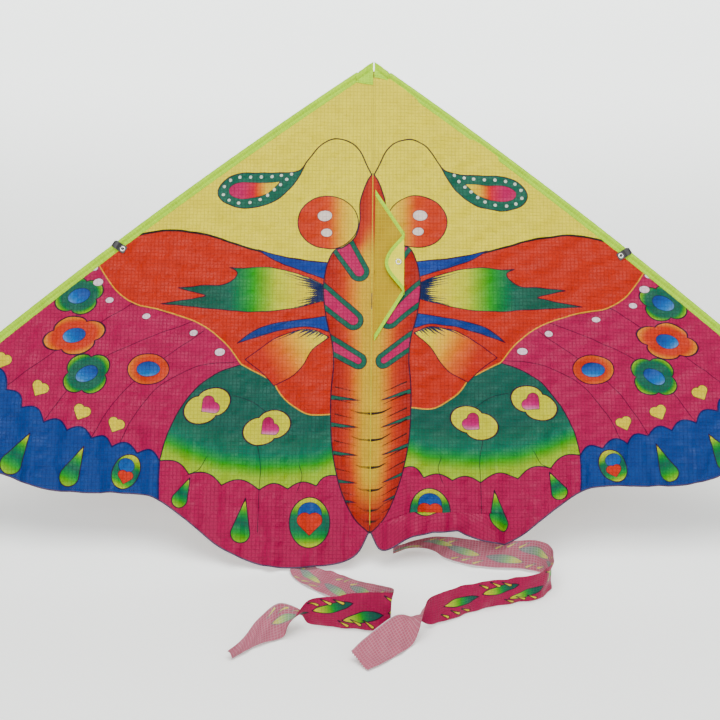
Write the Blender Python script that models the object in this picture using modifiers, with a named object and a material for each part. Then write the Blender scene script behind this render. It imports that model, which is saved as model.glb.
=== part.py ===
"""Delta kite with a folding pair of wings, a swinging keel and two ribbon tails.

The kite is drawn flat in its own plane: u runs to the right, v up the spine and n out of
the printed face. An empty leans that plane back, so the kite rests on the hems of its two
rear lobes. The origin is the middle of the flat end of the spine's foot cap.
"""

from math import cos, hypot, pi, radians, sin

import bmesh
import bpy
from mathutils import Matrix, Vector

# ---- driving dimensions, in metres and degrees --------------------------------------

HALF_SPAN = 0.700  # centre seam to the end of a leading edge
NOSE_V = 0.714  # foot cap to the point where the leading edges meet
TIP_V = 0.140  # height of a wing tip above the foot, along the spine
EDGE_BOW = 0.018  # how far a flexed leading edge stands off its chord
LEAN = 35.0  # spine to the vertical

ROD_R = 0.0020  # all glass fibre rods
SAIL_T = 0.0005
GAP = 0.0003  # between pieces that touch
SEAM_GAP = 0.0006  # from the centre line to the edge of a sail half

SLEEVE_R = 0.0039  # leading edge sleeve, outside
SLEEVE_WALL = 0.0005
SPINE_SLEEVE_R = 0.0037
HEM_WIDTH = 0.0050

CAP_R = 0.0029
CAP_LENGTH = 0.012
CAP_DEPTH = 0.009  # how far a rod goes into its cap
ROD_CLEARANCE = 0.0003  # rod to anything that is pushed onto it

NOSE_SETBACK = 0.014  # centre line to the nose end of a leading edge rod, in u
NOSE_CUT = 0.0084  # centre line to the cut corner of a sail half, in u
SPINE_SETBACK = 0.014  # nose to the end of the spine rod
TRIM = 0.004  # cloth and hem cut back at their ends
TIP_CHORD = 0.028  # depth of the cloth at a wing tip
SLEEVE_SETBACK = 0.007  # rod left bare at each end of a sleeve, for its cap

SPREADER_U = 0.376  # where the clips sit on the leading edges
SPREADER_RISE = 0.20  # slope of a spreader half
HUB_R = 0.0046
HUB_LENGTH = 0.014
HUB_WINDOW = 0.006  # bare spine each side of the hub
JOINER_SEAT = 0.0014  # hub's ring to the end of a joiner
STUB_R = 0.0020
STUB_LENGTH = 0.014
JOINER_LENGTH = 0.036
JOINER_WALL = 0.0011
ROD_TO_STUB = 0.004

TAB_WIDTH = 0.012  # black clip strap, along the leading edge
TAB_T = 0.0006
TAB_OUT = 0.0095  # how far its fold stands outside the leading edge
TAB_IN = 0.0150  # how far its legs reach over the sail
RIVET_IN = 0.0102  # rivet to the leading edge
RIVET_R = 0.0042
RIVET_BORE = 0.0019
RIVET_SHANK = 0.0025
RIVET_FLANGE = 0.0004
PEG_R = 0.0015
PEG_SETBACK = 0.004  # end of a spreader rod to its peg
PEG_PROUD = 0.0006

KEEL_TOP_V = 0.519
KEEL_FOOT_V = 0.269
KEEL_ROOT_U = 0.004  # the keel starts just off the seam line
KEEL_CREASE_U = 0.0475  # where the loose corner is folded back
KEEL_APEX_U = 0.078
KEEL_APEX_V = 0.402
KEEL_TILT = 4.0  # degrees that the resting keel stands off the sail
KEEL_T = 0.0004
BINDING_WIDTH = 0.0050
BINDING_T = 0.0010
BINDING_TRIM = 0.001
ROOT_SLOPE = 0.012  # how far the free edges have sloped where the keel starts
CORNER_LIFT = 6.0  # degrees between the folded corner and the keel under it
CREASE_GAP = 0.0012
EYELET_R = 0.0046
EYELET_BORE = 0.0025
EYELET_T = 0.0016
EYELET_WALL = 0.0008
EYELET_INSET = 0.022  # eyelet to the keel's apex, across the crease
EYELET_DROP = 0.002

PATCH_LENGTH = 0.034
PATCH_SPREAD = 0.0255  # how far a patch reaches along u
PATCH_HANG = 0.004  # how far it hangs over each side of the leading edge
PATCH_CHAMFER = 0.003
PATCH_T = 0.0006
TAIL_TAB_WIDTH = 0.060
TAIL_TAB_HEIGHT = 0.018
TAIL_TAB_RISE = 0.002  # foot cap to the tab
TAIL_T = 0.0006
TAIL_CLEAR = 0.0015  # tail above the ground it lies on
GROUND_CLEAR = 0.0030  # lobe hems above the ground

# Half of the rear edge, from the foot out to the wing tip. The two lobes are the low part.
HEM_POINTS = (
    (0.000, 0.004),
    (0.018, -0.030),
    (0.047, -0.044),
    (0.100, -0.050),
    (0.138, -0.0495),
    (0.171, -0.042),
    (0.214, -0.022),
    (0.245, 0.002),
    (0.272, 0.023),
    (0.300, 0.042),
    (0.325, 0.051),
    (0.370, 0.053),
    (0.410, 0.053),
    (0.456, 0.056),
    (0.493, 0.065),
    (0.530, 0.079),
    (0.620, 0.100),
    (0.700, 0.112),
)
HEM_SPAN = 0.700  # the span that the points above are drawn at

# ---- worked-out places ---------------------------------------------------------------

SAIL_TOP_OFFSET = SLEEVE_R + GAP
RIVET_PAD = GAP + TAB_T  # thickness of a clip leg with its gap, each side of the sail
RIVET_TOP = SAIL_T / 2 + RIVET_PAD + GAP + RIVET_FLANGE  # middle of the sail to a rivet's face
# The sail lies just in front of the spine's hub, and of the spreader caps under the rivets.
SAIL_N = max(HUB_R + GAP + SAIL_T / 2, CAP_R + GAP + RIVET_TOP)
GROUND_Z = min(v for _, v in HEM_POINTS) * cos(radians(LEAN)) - GROUND_CLEAR


# ---- curves ----------------------------------------------------------------------------


def edge_v(u):
    """Leading edge: the straight chord from nose to tip plus a parabola for its bow."""
    t = u / HALF_SPAN
    return NOSE_V + (TIP_V - NOSE_V) * t + 4 * EDGE_BOW * t * (1 - t)


def edge_normal(u):
    """Unit vector in the kite's plane from the leading edge in towards the sail."""
    step = 0.001
    du, dv = 2 * step, edge_v(u + step) - edge_v(u - step)
    size = hypot(du, dv)
    return dv / size, -du / size


def edge_point(u, inset=0.0):
    a, b = edge_normal(u)
    return u + a * inset, edge_v(u) + b * inset


def cubic_through(a, b, c, d, t):
    square = (2 * a - 5 * b + 4 * c - d) * t**2
    cube = (3 * b - a - 3 * c + d) * t**3
    return 0.5 * (2 * b + (c - a) * t + square + cube)


def smooth_through(points, per_span):
    """Catmull-Rom curve: each span is a cubic that takes its slopes from its neighbours."""
    ends = [points[0], *points, points[-1]]
    out = []
    for p0, p1, p2, p3 in zip(ends, ends[1:], ends[2:], ends[3:]):
        for k in range(per_span):
            t = k / per_span
            out.append(tuple(cubic_through(*axis, t) for axis in zip(p0, p1, p2, p3)))
    out.append(tuple(points[-1]))
    return out


def offset_line(points, distance):
    """Points moved sideways, to the left of their direction, by a fixed distance."""
    out = []
    for k, (x, y) in enumerate(points):
        ax, ay = points[max(k - 1, 0)]
        bx, by = points[min(k + 1, len(points) - 1)]
        size = hypot(bx - ax, by - ay)
        out.append((x - (by - ay) / size * distance, y + (bx - ax) / size * distance))
    return out


def circle(centre, radius, sides=20):
    return [
        (centre[0] + radius * cos(2 * pi * k / sides), centre[1] + radius * sin(2 * pi * k / sides))
        for k in range(sides)
    ]


# ---- making objects ----------------------------------------------------------------------

MATERIALS = {
    "yellow_print": ((0.83, 0.72, 0.03), 0.42, 0.0),
    "magenta_print": ((0.52, 0.02, 0.11), 0.42, 0.0),
    "neon_tape": ((0.45, 0.68, 0.02), 0.45, 0.0),
    "keel_cloth": ((0.80, 0.62, 0.05), 0.45, 0.0),
    "navy_thread_edge": ((0.02, 0.01, 0.09), 0.5, 0.0),
    "glass_fibre": ((0.05, 0.05, 0.05), 0.35, 0.0),
    "black_vinyl": ((0.01, 0.01, 0.01), 0.5, 0.0),
    "clear_vinyl": ((0.55, 0.55, 0.52), 0.3, 0.0),
    "nickel": ((0.70, 0.70, 0.68), 0.25, 1.0),
}


def clear_scene():
    for thing in list(bpy.data.objects):
        bpy.data.objects.remove(thing)


def make_material(name):
    colour, roughness, metallic = MATERIALS[name]
    material = bpy.data.materials.new(name)
    material.use_nodes = True
    shader = material.node_tree.nodes["Principled BSDF"]
    shader.inputs["Base Color"].default_value = (*colour, 1)
    shader.inputs["Roughness"].default_value = roughness
    shader.inputs["Metallic"].default_value = metallic
    return material


def collection(name):
    made = bpy.data.collections.new(name)
    bpy.context.scene.collection.children.link(made)
    return made


clear_scene()
KITE = collection("delta_kite")
CUTTERS = collection("cutters")
FINISH = {name: make_material(name) for name in MATERIALS}


def empty(name, parent, location=(0, 0, 0), rotation=None):
    made = bpy.data.objects.new(name, None)
    KITE.objects.link(made)
    made.parent = parent
    made.location = location
    if rotation is not None:
        made.rotation_euler = rotation
    return made


def add(name, data, finish, parent):
    """Links an object and places it under its parent without moving its mesh."""
    made = bpy.data.objects.new(name, data)
    KITE.objects.link(made)
    made.parent = parent
    made.data.materials.append(FINISH[finish])
    return made


def solidify(made, thickness, offset=0.0):
    wall = made.modifiers.new("wall", "SOLIDIFY")
    wall.thickness = thickness
    wall.offset = offset
    return wall


def flat_piece(name, outline, thickness, height, finish, parent, hole=None):
    """A flat outline in the kite's plane, centred on a height in n, with one round hole."""
    curve = bpy.data.curves.new(name, "CURVE")
    curve.dimensions = "2D"
    curve.fill_mode = "BOTH"
    curve.extrude = thickness / 2
    for loop in [outline] + ([hole] if hole else []):
        spline = curve.splines.new("POLY")
        spline.points.add(len(loop) - 1)
        for point, (x, y) in zip(spline.points, loop):
            point.co = (x, y, 0, 1)
        spline.use_cyclic_u = True
    made = add(name, curve, finish, parent)
    made.location.z = height
    return made


def poly_curve(name, points):
    curve = bpy.data.curves.new(name, "CURVE")
    curve.dimensions = "3D"
    spline = curve.splines.new("POLY")
    spline.points.add(len(points) - 1)
    for point, place in zip(spline.points, points):
        point.co = (*place, 1)
    return curve


def rod(name, points, radius, finish, parent):
    curve = poly_curve(name, points)
    curve.bevel_depth = radius
    curve.bevel_resolution = 3
    curve.use_fill_caps = True
    return add(name, curve, finish, parent)


def pipe(name, points, outside, wall, finish, parent):
    """A tube open at both ends: a bevelled curve without caps, thickened outwards."""
    curve = poly_curve(name, points)
    curve.bevel_depth = outside - wall
    curve.bevel_resolution = 3
    made = add(name, curve, finish, parent)
    solidify(made, wall, 1.0)
    return made


def turned(name, profile, finish, parent, place, direction, sides=20):
    """A profile of (radius, height) spun about its Z axis, which is then set along direction."""
    mesh = bpy.data.meshes.new(name)
    verts = [(r, 0, z) for r, z in profile]
    closed = profile[0][0] > 0
    edges = [(k, (k + 1) % len(verts)) for k in range(len(verts) - (0 if closed else 1))]
    mesh.from_pydata(verts, edges, [])
    made = add(name, mesh, finish, parent)
    spin = made.modifiers.new("spin", "SCREW")
    spin.steps = sides
    spin.render_steps = sides
    spin.use_merge_vertices = True
    spin.merge_threshold = 0.00001
    made.location = place
    made.rotation_euler = Vector((0, 0, 1)).rotation_difference(Vector(direction)).to_euler()
    return made


def solid_mesh(made):
    """Turns a curve or modified object into a plain welded mesh, ready for a Boolean."""
    bpy.context.view_layer.update()
    seen = made.evaluated_get(bpy.context.evaluated_depsgraph_get())
    mesh = bpy.data.meshes.new_from_object(seen)
    shape = bmesh.new()
    shape.from_mesh(mesh)
    bmesh.ops.remove_doubles(shape, verts=shape.verts, dist=0.00001)
    shape.to_mesh(mesh)
    shape.free()
    plain = bpy.data.objects.new(made.name + "_solid", mesh)
    KITE.objects.link(plain)
    plain.parent = made.parent
    plain.matrix_world = made.matrix_world
    name = made.name
    bpy.data.objects.remove(made)
    plain.name = name
    return plain


def cylinder(name, radius, length, place, direction, parent, group, sides=20):
    mesh = bpy.data.meshes.new(name)
    shape = bmesh.new()
    bmesh.ops.create_cone(
        shape, cap_ends=True, segments=sides, radius1=radius, radius2=radius, depth=length
    )
    shape.to_mesh(mesh)
    shape.free()
    made = bpy.data.objects.new(name, mesh)
    group.objects.link(made)
    made.parent = parent
    made.location = place
    made.rotation_euler = Vector((0, 0, 1)).rotation_difference(Vector(direction)).to_euler()
    return made


def boolean(target, tool, operation):
    tool.hide_render = True
    tool.display_type = "WIRE"
    cut = target.modifiers.new(operation.lower(), "BOOLEAN")
    cut.operation = operation
    cut.solver = "EXACT"
    cut.object = tool


def cap(name, mouth, direction, parent):
    """A moulded cup pushed over a rod end. The profile runs down its outside from the end."""
    bore = ROD_R + ROD_CLEARANCE
    rim = 0.0005
    profile = [
        (0, CAP_LENGTH),
        (CAP_R - rim, CAP_LENGTH),
        (CAP_R, CAP_LENGTH - rim),
        (CAP_R, 0),
        (bore, 0),
        (bore, CAP_DEPTH + GAP),
        (0, CAP_DEPTH + GAP),
    ]
    return turned(name, profile, "black_vinyl", parent, mouth, direction)


# ---- the bodies' empties ---------------------------------------------------------------

FRAME = empty("kite_frame", None, rotation=(radians(90 - LEAN), 0, 0))
WINGS = {
    side: empty("wing_axis_" + side, FRAME, location=(0, 0, SAIL_N)) for side in ("left", "right")
}
KEEL = empty("keel_axis", WINGS["right"], rotation=(0, radians(-KEEL_TILT), 0))


def hem_line():
    points = [(u * HALF_SPAN / HEM_SPAN, v) for u, v in HEM_POINTS]
    points[-1] = (HALF_SPAN, min(points[-1][1], TIP_V - TIP_CHORD))
    return smooth_through(points, 3)


# ---- spine ---------------------------------------------------------------------------


def hub_v():
    u, v = rivet_place(1)
    return v - SPREADER_RISE * u


def rivet_place(sign):
    u, v = edge_point(SPREADER_U, RIVET_IN)
    return sign * u, v


def spine():
    foot_end = CAP_LENGTH - CAP_DEPTH
    top = NOSE_V - SPINE_SETBACK
    rod("spine_rod", [(0, foot_end, 0), (0, top, 0)], ROD_R, "glass_fibre", FRAME)
    cap("spine_cap_foot", (0, CAP_LENGTH, 0), (0, -1, 0), FRAME)
    cap("spine_cap_nose", (0, top - CAP_DEPTH, 0), (0, 1, 0), FRAME)
    middle = hub_v()
    window = HUB_LENGTH / 2 + HUB_WINDOW
    pieces = {
        "spine_sleeve_upper": (middle + window, top - CAP_DEPTH - GAP),
        "spine_sleeve_lower": (CAP_LENGTH + GAP, middle - window),
    }
    for name, (low, high) in pieces.items():
        pipe(name, [(0, low, 0), (0, high, 0)], SPINE_SLEEVE_R, SLEEVE_WALL, "yellow_print", FRAME)


def spreader_direction(sign):
    size = hypot(1, SPREADER_RISE)
    return Vector((sign / size, SPREADER_RISE / size, 0))


def hub():
    """Moulded cross piece: a ring round the spine with a stub each side, made one solid."""
    place = (0, hub_v(), 0)
    made = cylinder("spreader_hub", HUB_R, HUB_LENGTH, place, (0, 1, 0), FRAME, KITE)
    made.data.materials.append(FINISH["black_vinyl"])
    for side, sign in (("left", -1), ("right", 1)):
        along = spreader_direction(sign)
        reach = HUB_R + STUB_LENGTH
        middle = Vector(place) + along * reach / 2
        stub = cylinder("stub_" + side, STUB_R, reach, middle, along, FRAME, CUTTERS, 16)
        boolean(made, stub, "UNION")
    bore = cylinder("hub_bore", ROD_R + ROD_CLEARANCE, HUB_LENGTH * 2, place, (0, 1, 0), FRAME, CUTTERS)
    boolean(made, bore, "DIFFERENCE")


def joiners():
    """Soft tubes that carry each spreader half on its stub and bend when a wing folds."""
    for side, sign in (("left", -1), ("right", 1)):
        along = spreader_direction(sign)
        start = Vector((0, hub_v(), 0)) + along * (HUB_R + JOINER_SEAT)
        end = start + along * JOINER_LENGTH
        outside = ROD_R + ROD_CLEARANCE + JOINER_WALL
        pipe("spreader_joiner_" + side, [start, end], outside, JOINER_WALL, "clear_vinyl", FRAME)


# ---- wings ---------------------------------------------------------------------------


def mirrored(points, sign):
    return [(sign * u, v) for u, v in points]


def sail(side, sign, wing):
    hem = offset_line(hem_line(), HEM_WIDTH + GAP)
    end = HALF_SPAN - TRIM
    inner = [p for p in hem if SEAM_GAP + TRIM / 2 < p[0] < end]
    foot = [(SEAM_GAP, inner[0][1] + TRIM)]
    steps = 24
    edge_u = [NOSE_CUT + (end - NOSE_CUT) * k / steps for k in range(steps + 1)]
    top = [edge_point(u, SAIL_TOP_OFFSET) for u in reversed(edge_u)]
    nose = [(SEAM_GAP, top[-1][1] - TRIM / 2)]
    outline = mirrored(foot + inner + top + nose, sign)
    hole = circle(rivet_place(sign), RIVET_SHANK + GAP)
    flat_piece("sail_" + side, outline, SAIL_T, 0, "yellow_print", wing, hole)


def hem(side, sign, wing):
    outer = [p for p in hem_line() if p[0] > TRIM]
    inner = offset_line(outer, HEM_WIDTH)
    outline = mirrored(outer + inner[::-1], sign)
    flat_piece("hem_" + side, outline, SAIL_T, 0, "navy_thread_edge", wing)


def edge_line(first, last, count, sign):
    steps = [first + (last - first) * k / (count - 1) for k in range(count)]
    return [(sign * u, edge_v(u), 0) for u in steps]


def leading_edge(side, sign, wing):
    line = edge_line(NOSE_SETBACK, HALF_SPAN, 15, sign)
    rod("leading_edge_rod_" + side, line, ROD_R, "glass_fibre", wing)
    start = NOSE_SETBACK + SLEEVE_SETBACK + CAP_R
    end = HALF_SPAN - SLEEVE_SETBACK - CAP_R
    line = edge_line(start, end, 15, sign)
    pipe("leading_edge_sleeve_" + side, line, SLEEVE_R, SLEEVE_WALL, "neon_tape", wing)
    for name, u, towards in (("nose", NOSE_SETBACK, -1), ("tip", HALF_SPAN, 1)):
        a, b = edge_normal(u)
        along = Vector((sign * -b, a, 0)) * towards
        mouth = Vector((sign * u, edge_v(u), 0)) - along * CAP_DEPTH
        cap(f"rod_cap_{name}_{side}", mouth, along, wing)


def clip(side, sign, wing):
    """A strap folded round the sleeve, its two legs riveted together through the sail."""
    leg = SAIL_T / 2 + GAP + TAB_T / 2
    round_r = SLEEVE_R + GAP + TAB_T / 2
    half = [(TAB_IN, leg), (SLEEVE_R + GAP * 4, leg), (round_r * 0.8, round_r * 0.75)]
    half += [(0.0, round_r), (-round_r * 0.7, round_r * 0.8), (-TAB_OUT * 0.85, 0.0012)]
    loop = half + [(-TAB_OUT, 0.0)] + [(p, -n) for p, n in reversed(half)]
    a, b = edge_normal(SPREADER_U)
    across = Vector((sign * a, b, 0))
    middle = Vector((sign * SPREADER_U, edge_v(SPREADER_U), 0))
    curve = poly_curve("clip_tab_" + side, [(p, n, 0) for p, n in loop])
    curve.extrude = TAB_WIDTH / 2
    made = add("clip_tab_" + side, curve, "black_vinyl", wing)
    solidify(made, TAB_T)
    turn = Matrix((across, Vector((0, 0, 1)), across.cross(Vector((0, 0, 1))))).transposed()
    made.matrix_local = Matrix.Translation(middle) @ turn.to_4x4()
    made = solid_mesh(made)
    place = (*rivet_place(sign), 0)
    hole = cylinder(
        "clip_hole_" + side, RIVET_SHANK + GAP, 0.01, place, (0, 0, 1), wing, CUTTERS
    )
    boolean(made, hole, "DIFFERENCE")


def rivet(side, sign, wing):
    """Hollow rivet: a tube with a flange rolled over on each face of the clip."""
    top = RIVET_TOP
    seat = top - RIVET_FLANGE
    profile = [
        (RIVET_R, top),
        (RIVET_R, seat),
        (RIVET_SHANK, seat),
        (RIVET_SHANK, -seat),
        (RIVET_R, -seat),
        (RIVET_R, -top),
        (RIVET_BORE, -top),
        (RIVET_BORE, top),
    ]
    turned("clip_rivet_" + side, profile, "nickel", wing, (*rivet_place(sign), 0), (0, 0, 1))


def spreader(side, sign, wing):
    """A spreader half lies behind the sail, with a cap whose peg goes through the rivet."""
    along = spreader_direction(sign)
    back = -SAIL_N
    centre = Vector((0, hub_v(), back))
    first = centre + along * (HUB_R + STUB_LENGTH + ROD_TO_STUB)
    peg_place = Vector((*rivet_place(sign), back))
    last = peg_place - along * PEG_SETBACK
    rod("spreader_rod_" + side, [first, last], ROD_R, "glass_fibre", wing)
    made = cap("spreader_cap_" + side, last - along * CAP_DEPTH, along, wing)
    height = SAIL_N + RIVET_TOP + PEG_PROUD
    middle = peg_place + Vector((0, 0, height / 2))
    peg = cylinder("peg_" + side, PEG_R, height, middle, (0, 0, 1), wing, CUTTERS, 16)
    boolean(made, peg, "UNION")


def nose_patch(side, sign, wing):
    """A folded triangle of tape over the sleeve's nose end."""
    height = SLEEVE_R + GAP + PATCH_T / 2
    inner = height / cos(radians(45)) + PATCH_T
    u = inner + PATCH_SPREAD
    hang = PATCH_HANG
    outline = [(inner, NOSE_V - PATCH_LENGTH), (u, edge_v(u) - hang), (u - hang, edge_v(u) + hang)]
    outline += [(inner + hang / 2, NOSE_V + PATCH_CHAMFER), (inner, NOSE_V)]
    flat_piece("nose_patch_" + side, mirrored(outline, sign), PATCH_T, height, "neon_tape", wing)


# ---- keel ------------------------------------------------------------------------------


def keel_edge(start, end, t):
    return tuple(a + (b - a) * t for a, b in zip(start, end))


def crease_points():
    """Where the crease crosses the keel's two free edges."""
    top, apex, foot = (0.0, KEEL_TOP_V), (KEEL_APEX_U, KEEL_APEX_V), (0.0, KEEL_FOOT_V)
    share = KEEL_CREASE_U / KEEL_APEX_U
    return keel_edge(top, apex, share), keel_edge(foot, apex, share)


def along_edge(a, b, inset, trim=0.0):
    """Two points on the line from a to b, moved to its left and shortened at both ends."""
    size = hypot(b[0] - a[0], b[1] - a[1])
    x, y = (b[0] - a[0]) / size, (b[1] - a[1]) / size
    return [
        (a[0] - y * inset + x * trim, a[1] + x * inset + y * trim),
        (b[0] - y * inset - x * trim, b[1] + x * inset - y * trim),
    ]


def strip(name, a, b, width, trim, finish, parent):
    outer = along_edge(a, b, 0.0, trim)
    inner = along_edge(a, b, width, trim)
    flat_piece(name, outer + inner[::-1], BINDING_T, 0, finish, parent)


def at_u(a, b, u):
    """The point on the line a to b whose u is given."""
    t = (u - a[0]) / (b[0] - a[0])
    return (u, a[1] + (b[1] - a[1]) * t)


def keel():
    lift = SAIL_T / 2 + BINDING_T / 2 + GAP
    KEEL.location = (0, 0, lift)
    high, low = crease_points()
    edge_u = KEEL_CREASE_U - CREASE_GAP
    top = (KEEL_ROOT_U, KEEL_TOP_V - ROOT_SLOPE / 2)
    foot = (KEEL_ROOT_U, KEEL_FOOT_V + ROOT_SLOPE)
    inset = BINDING_WIDTH + GAP
    upper = along_edge((edge_u, high[1]), top, inset)
    lower = along_edge(foot, (edge_u, low[1]), inset)
    upper = [at_u(*upper, edge_u), at_u(*upper, KEEL_ROOT_U)]
    lower = [at_u(*lower, KEEL_ROOT_U), at_u(*lower, edge_u)]
    flat_piece("keel_panel", upper + lower, KEEL_T, 0, "keel_cloth", KEEL)
    strip("keel_binding_top", (edge_u, high[1]), top, BINDING_WIDTH, BINDING_TRIM, "neon_tape", KEEL)
    strip("keel_binding_foot", foot, (edge_u, low[1]), BINDING_WIDTH, BINDING_TRIM, "neon_tape", KEEL)


def keel_corner():
    """The loose corner with its eyelet, folded back over the keel about the crease."""
    high, low = crease_points()
    place = (KEEL_CREASE_U, 0, BINDING_T + GAP)
    axis = empty("corner_axis", KEEL, location=place, rotation=(0, radians(CORNER_LIFT), 0))
    reach = KEEL_APEX_U - KEEL_CREASE_U

    def folded(point):
        return (-(point[0] - KEEL_CREASE_U), point[1])

    apex = (-reach, KEEL_APEX_V)
    start_u = -CREASE_GAP
    top = at_u(folded(high), apex, start_u)
    foot = at_u(folded(low), apex, start_u)
    inset = BINDING_WIDTH + GAP
    upper = along_edge(top, apex, inset)
    lower = along_edge(apex, foot, inset)
    inner_apex = meeting(upper, lower)
    outline = [at_u(*upper, start_u), inner_apex, at_u(*lower, start_u)]
    eyelet = (-(reach - EYELET_INSET), KEEL_APEX_V - EYELET_DROP)
    shank = EYELET_BORE + EYELET_WALL
    hole = circle(eyelet, shank + GAP)
    flat_piece("keel_corner_panel", outline, KEEL_T, 0, "keel_cloth", axis, hole)
    outer_top = along_edge(top, apex, 0.0)
    outer_foot = along_edge(apex, foot, 0.0)
    inner = [along_edge(top, apex, BINDING_WIDTH), along_edge(apex, foot, BINDING_WIDTH)]
    knee = meeting(*inner)
    rim = [outer_top[0], apex, outer_foot[1]]
    rim += [at_u(*inner[1], start_u), knee, at_u(*inner[0], start_u)]
    flat_piece("keel_corner_binding", rim, BINDING_T, 0, "neon_tape", axis)
    half = EYELET_T / 2
    seat = KEEL_T / 2 + GAP
    profile = [
        (EYELET_R, half),
        (EYELET_R, seat),
        (shank, seat),
        (shank, -seat),
        (EYELET_R, -seat),
        (EYELET_R, -half),
        (EYELET_BORE, -half),
        (EYELET_BORE, half),
    ]
    turned("keel_eyelet", profile, "nickel", axis, (*eyelet, 0), (0, 0, 1))


def meeting(first, second):
    """Where two lines, each given by two points, cross."""
    (x1, y1), (x2, y2) = first
    (x3, y3), (x4, y4) = second
    det = (x1 - x2) * (y3 - y4) - (y1 - y2) * (x3 - x4)
    a, b = x1 * y2 - y1 * x2, x3 * y4 - y3 * x4
    return ((a * (x3 - x4) - (x1 - x2) * b) / det, (a * (y3 - y4) - (y1 - y2) * b) / det)


# ---- tails -----------------------------------------------------------------------------

# Each station is a point of the ribbon's lower edge on the ground (x, y), how far its upper
# edge leans away in y from it, and how high that upper edge stands.
TAIL_STATIONS = {
    "left": (
        (-0.035, 0.016, 0.000, 0.012),
        (-0.052, 0.014, 0.000, 0.001),
        (-0.085, 0.000, -0.030, 0.001),
        (-0.115, -0.034, -0.044, 0.001),
        (-0.108, -0.064, -0.020, 0.002),
        (-0.072, -0.092, 0.002, 0.026),
        (-0.034, -0.118, 0.006, 0.040),
        (0.010, -0.150, 0.010, 0.052),
        (0.027, -0.170, 0.006, 0.056),
        (0.018, -0.184, 0.002, 0.056),
        (-0.030, -0.180, 0.004, 0.054),
        (-0.075, -0.178, 0.004, 0.046),
        (-0.110, -0.178, 0.006, 0.036),
        (-0.140, -0.192, 0.006, 0.030),
        (-0.178, -0.236, 0.004, 0.016),
    ),
    "right": (
        (0.035, 0.016, 0.000, 0.012),
        (0.060, 0.014, 0.000, 0.001),
        (0.095, 0.000, -0.030, 0.001),
        (0.128, -0.036, -0.040, 0.001),
        (0.140, -0.062, -0.016, 0.002),
        (0.164, -0.064, 0.002, 0.026),
        (0.190, -0.060, 0.004, 0.036),
        (0.228, -0.052, 0.004, 0.044),
        (0.247, -0.070, 0.006, 0.046),
        (0.238, -0.094, 0.004, 0.044),
        (0.190, -0.112, 0.004, 0.040),
        (0.130, -0.140, 0.008, 0.040),
        (0.060, -0.200, 0.012, 0.036),
        (-0.010, -0.262, 0.016, 0.020),
    ),
}


def tail(side, sign):
    """A band whose lower edge follows the ground and whose upper edge stands off it."""
    stations = smooth_through(TAIL_STATIONS[side], 2)
    ground = GROUND_Z + TAIL_CLEAR
    lower = [(x, y, ground) for x, y, _, _ in stations]
    upper = [(x, y - lean, ground + rise) for x, y, lean, rise in stations]
    mesh = bpy.data.meshes.new("tail_ribbon_" + side)
    count = len(stations)
    faces = [(k, k + 1, count + k + 1, count + k) for k in range(count - 1)]
    mesh.from_pydata(lower + upper, [], faces)
    made = add("tail_ribbon_" + side, mesh, "magenta_print", None)
    solidify(made, TAIL_T)


def tail_tab():
    """The folded tape that holds both tails behind the spine's foot."""
    half = TAIL_TAB_WIDTH / 2
    low = CAP_LENGTH + TAIL_TAB_RISE
    high = low + TAIL_TAB_HEIGHT
    outline = [(-half, low), (half, low), (half, high), (-half, high)]
    height = -(SPINE_SLEEVE_R + GAP + PATCH_T / 2)
    flat_piece("tail_tab", outline, PATCH_T, height, "neon_tape", FRAME)


def build():
    spine()
    hub()
    joiners()
    for side, sign in (("left", -1), ("right", 1)):
        wing = WINGS[side]
        sail(side, sign, wing)
        hem(side, sign, wing)
        leading_edge(side, sign, wing)
        clip(side, sign, wing)
        rivet(side, sign, wing)
        spreader(side, sign, wing)
        nose_patch(side, sign, wing)
        tail(side, sign)
    keel()
    keel_corner()
    tail_tab()


build()
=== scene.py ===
"""Looks of a single-line delta kite with a butterfly print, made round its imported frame.

The kite is drawn in its own plane: u to the right, v up the spine, n out of the printed face.
That plane leans back on the floor. The print is the same on both halves, so it is drawn in
(x, v) with x = |u|. Each shape of the print is a field: metres from the shape's edge, below
zero inside it. The fields are stored on the cloth's points and the material turns them into
ink, so an edge stays sharp between the points.
"""

from math import cos, pi, radians, sin

import bmesh
import bpy
import numpy as np
from mathutils import Matrix, Vector


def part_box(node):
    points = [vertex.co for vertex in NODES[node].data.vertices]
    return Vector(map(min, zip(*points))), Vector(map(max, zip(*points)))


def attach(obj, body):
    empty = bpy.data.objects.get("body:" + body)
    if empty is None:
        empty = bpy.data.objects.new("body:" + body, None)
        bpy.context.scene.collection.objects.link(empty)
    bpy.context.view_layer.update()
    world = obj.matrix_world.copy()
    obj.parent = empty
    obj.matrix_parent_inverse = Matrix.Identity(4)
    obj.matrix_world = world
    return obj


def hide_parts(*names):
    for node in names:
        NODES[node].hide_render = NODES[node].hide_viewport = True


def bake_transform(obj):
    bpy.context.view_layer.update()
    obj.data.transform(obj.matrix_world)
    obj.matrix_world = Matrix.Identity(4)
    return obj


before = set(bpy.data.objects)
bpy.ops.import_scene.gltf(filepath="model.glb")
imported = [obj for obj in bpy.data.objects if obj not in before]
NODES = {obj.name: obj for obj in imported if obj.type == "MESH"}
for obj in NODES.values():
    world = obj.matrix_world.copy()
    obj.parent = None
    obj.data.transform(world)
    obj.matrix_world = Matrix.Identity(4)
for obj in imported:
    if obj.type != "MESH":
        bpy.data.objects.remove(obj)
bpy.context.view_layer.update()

# ---- the kite's sizes, in metres, as the frame has them ------------------------------

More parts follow.
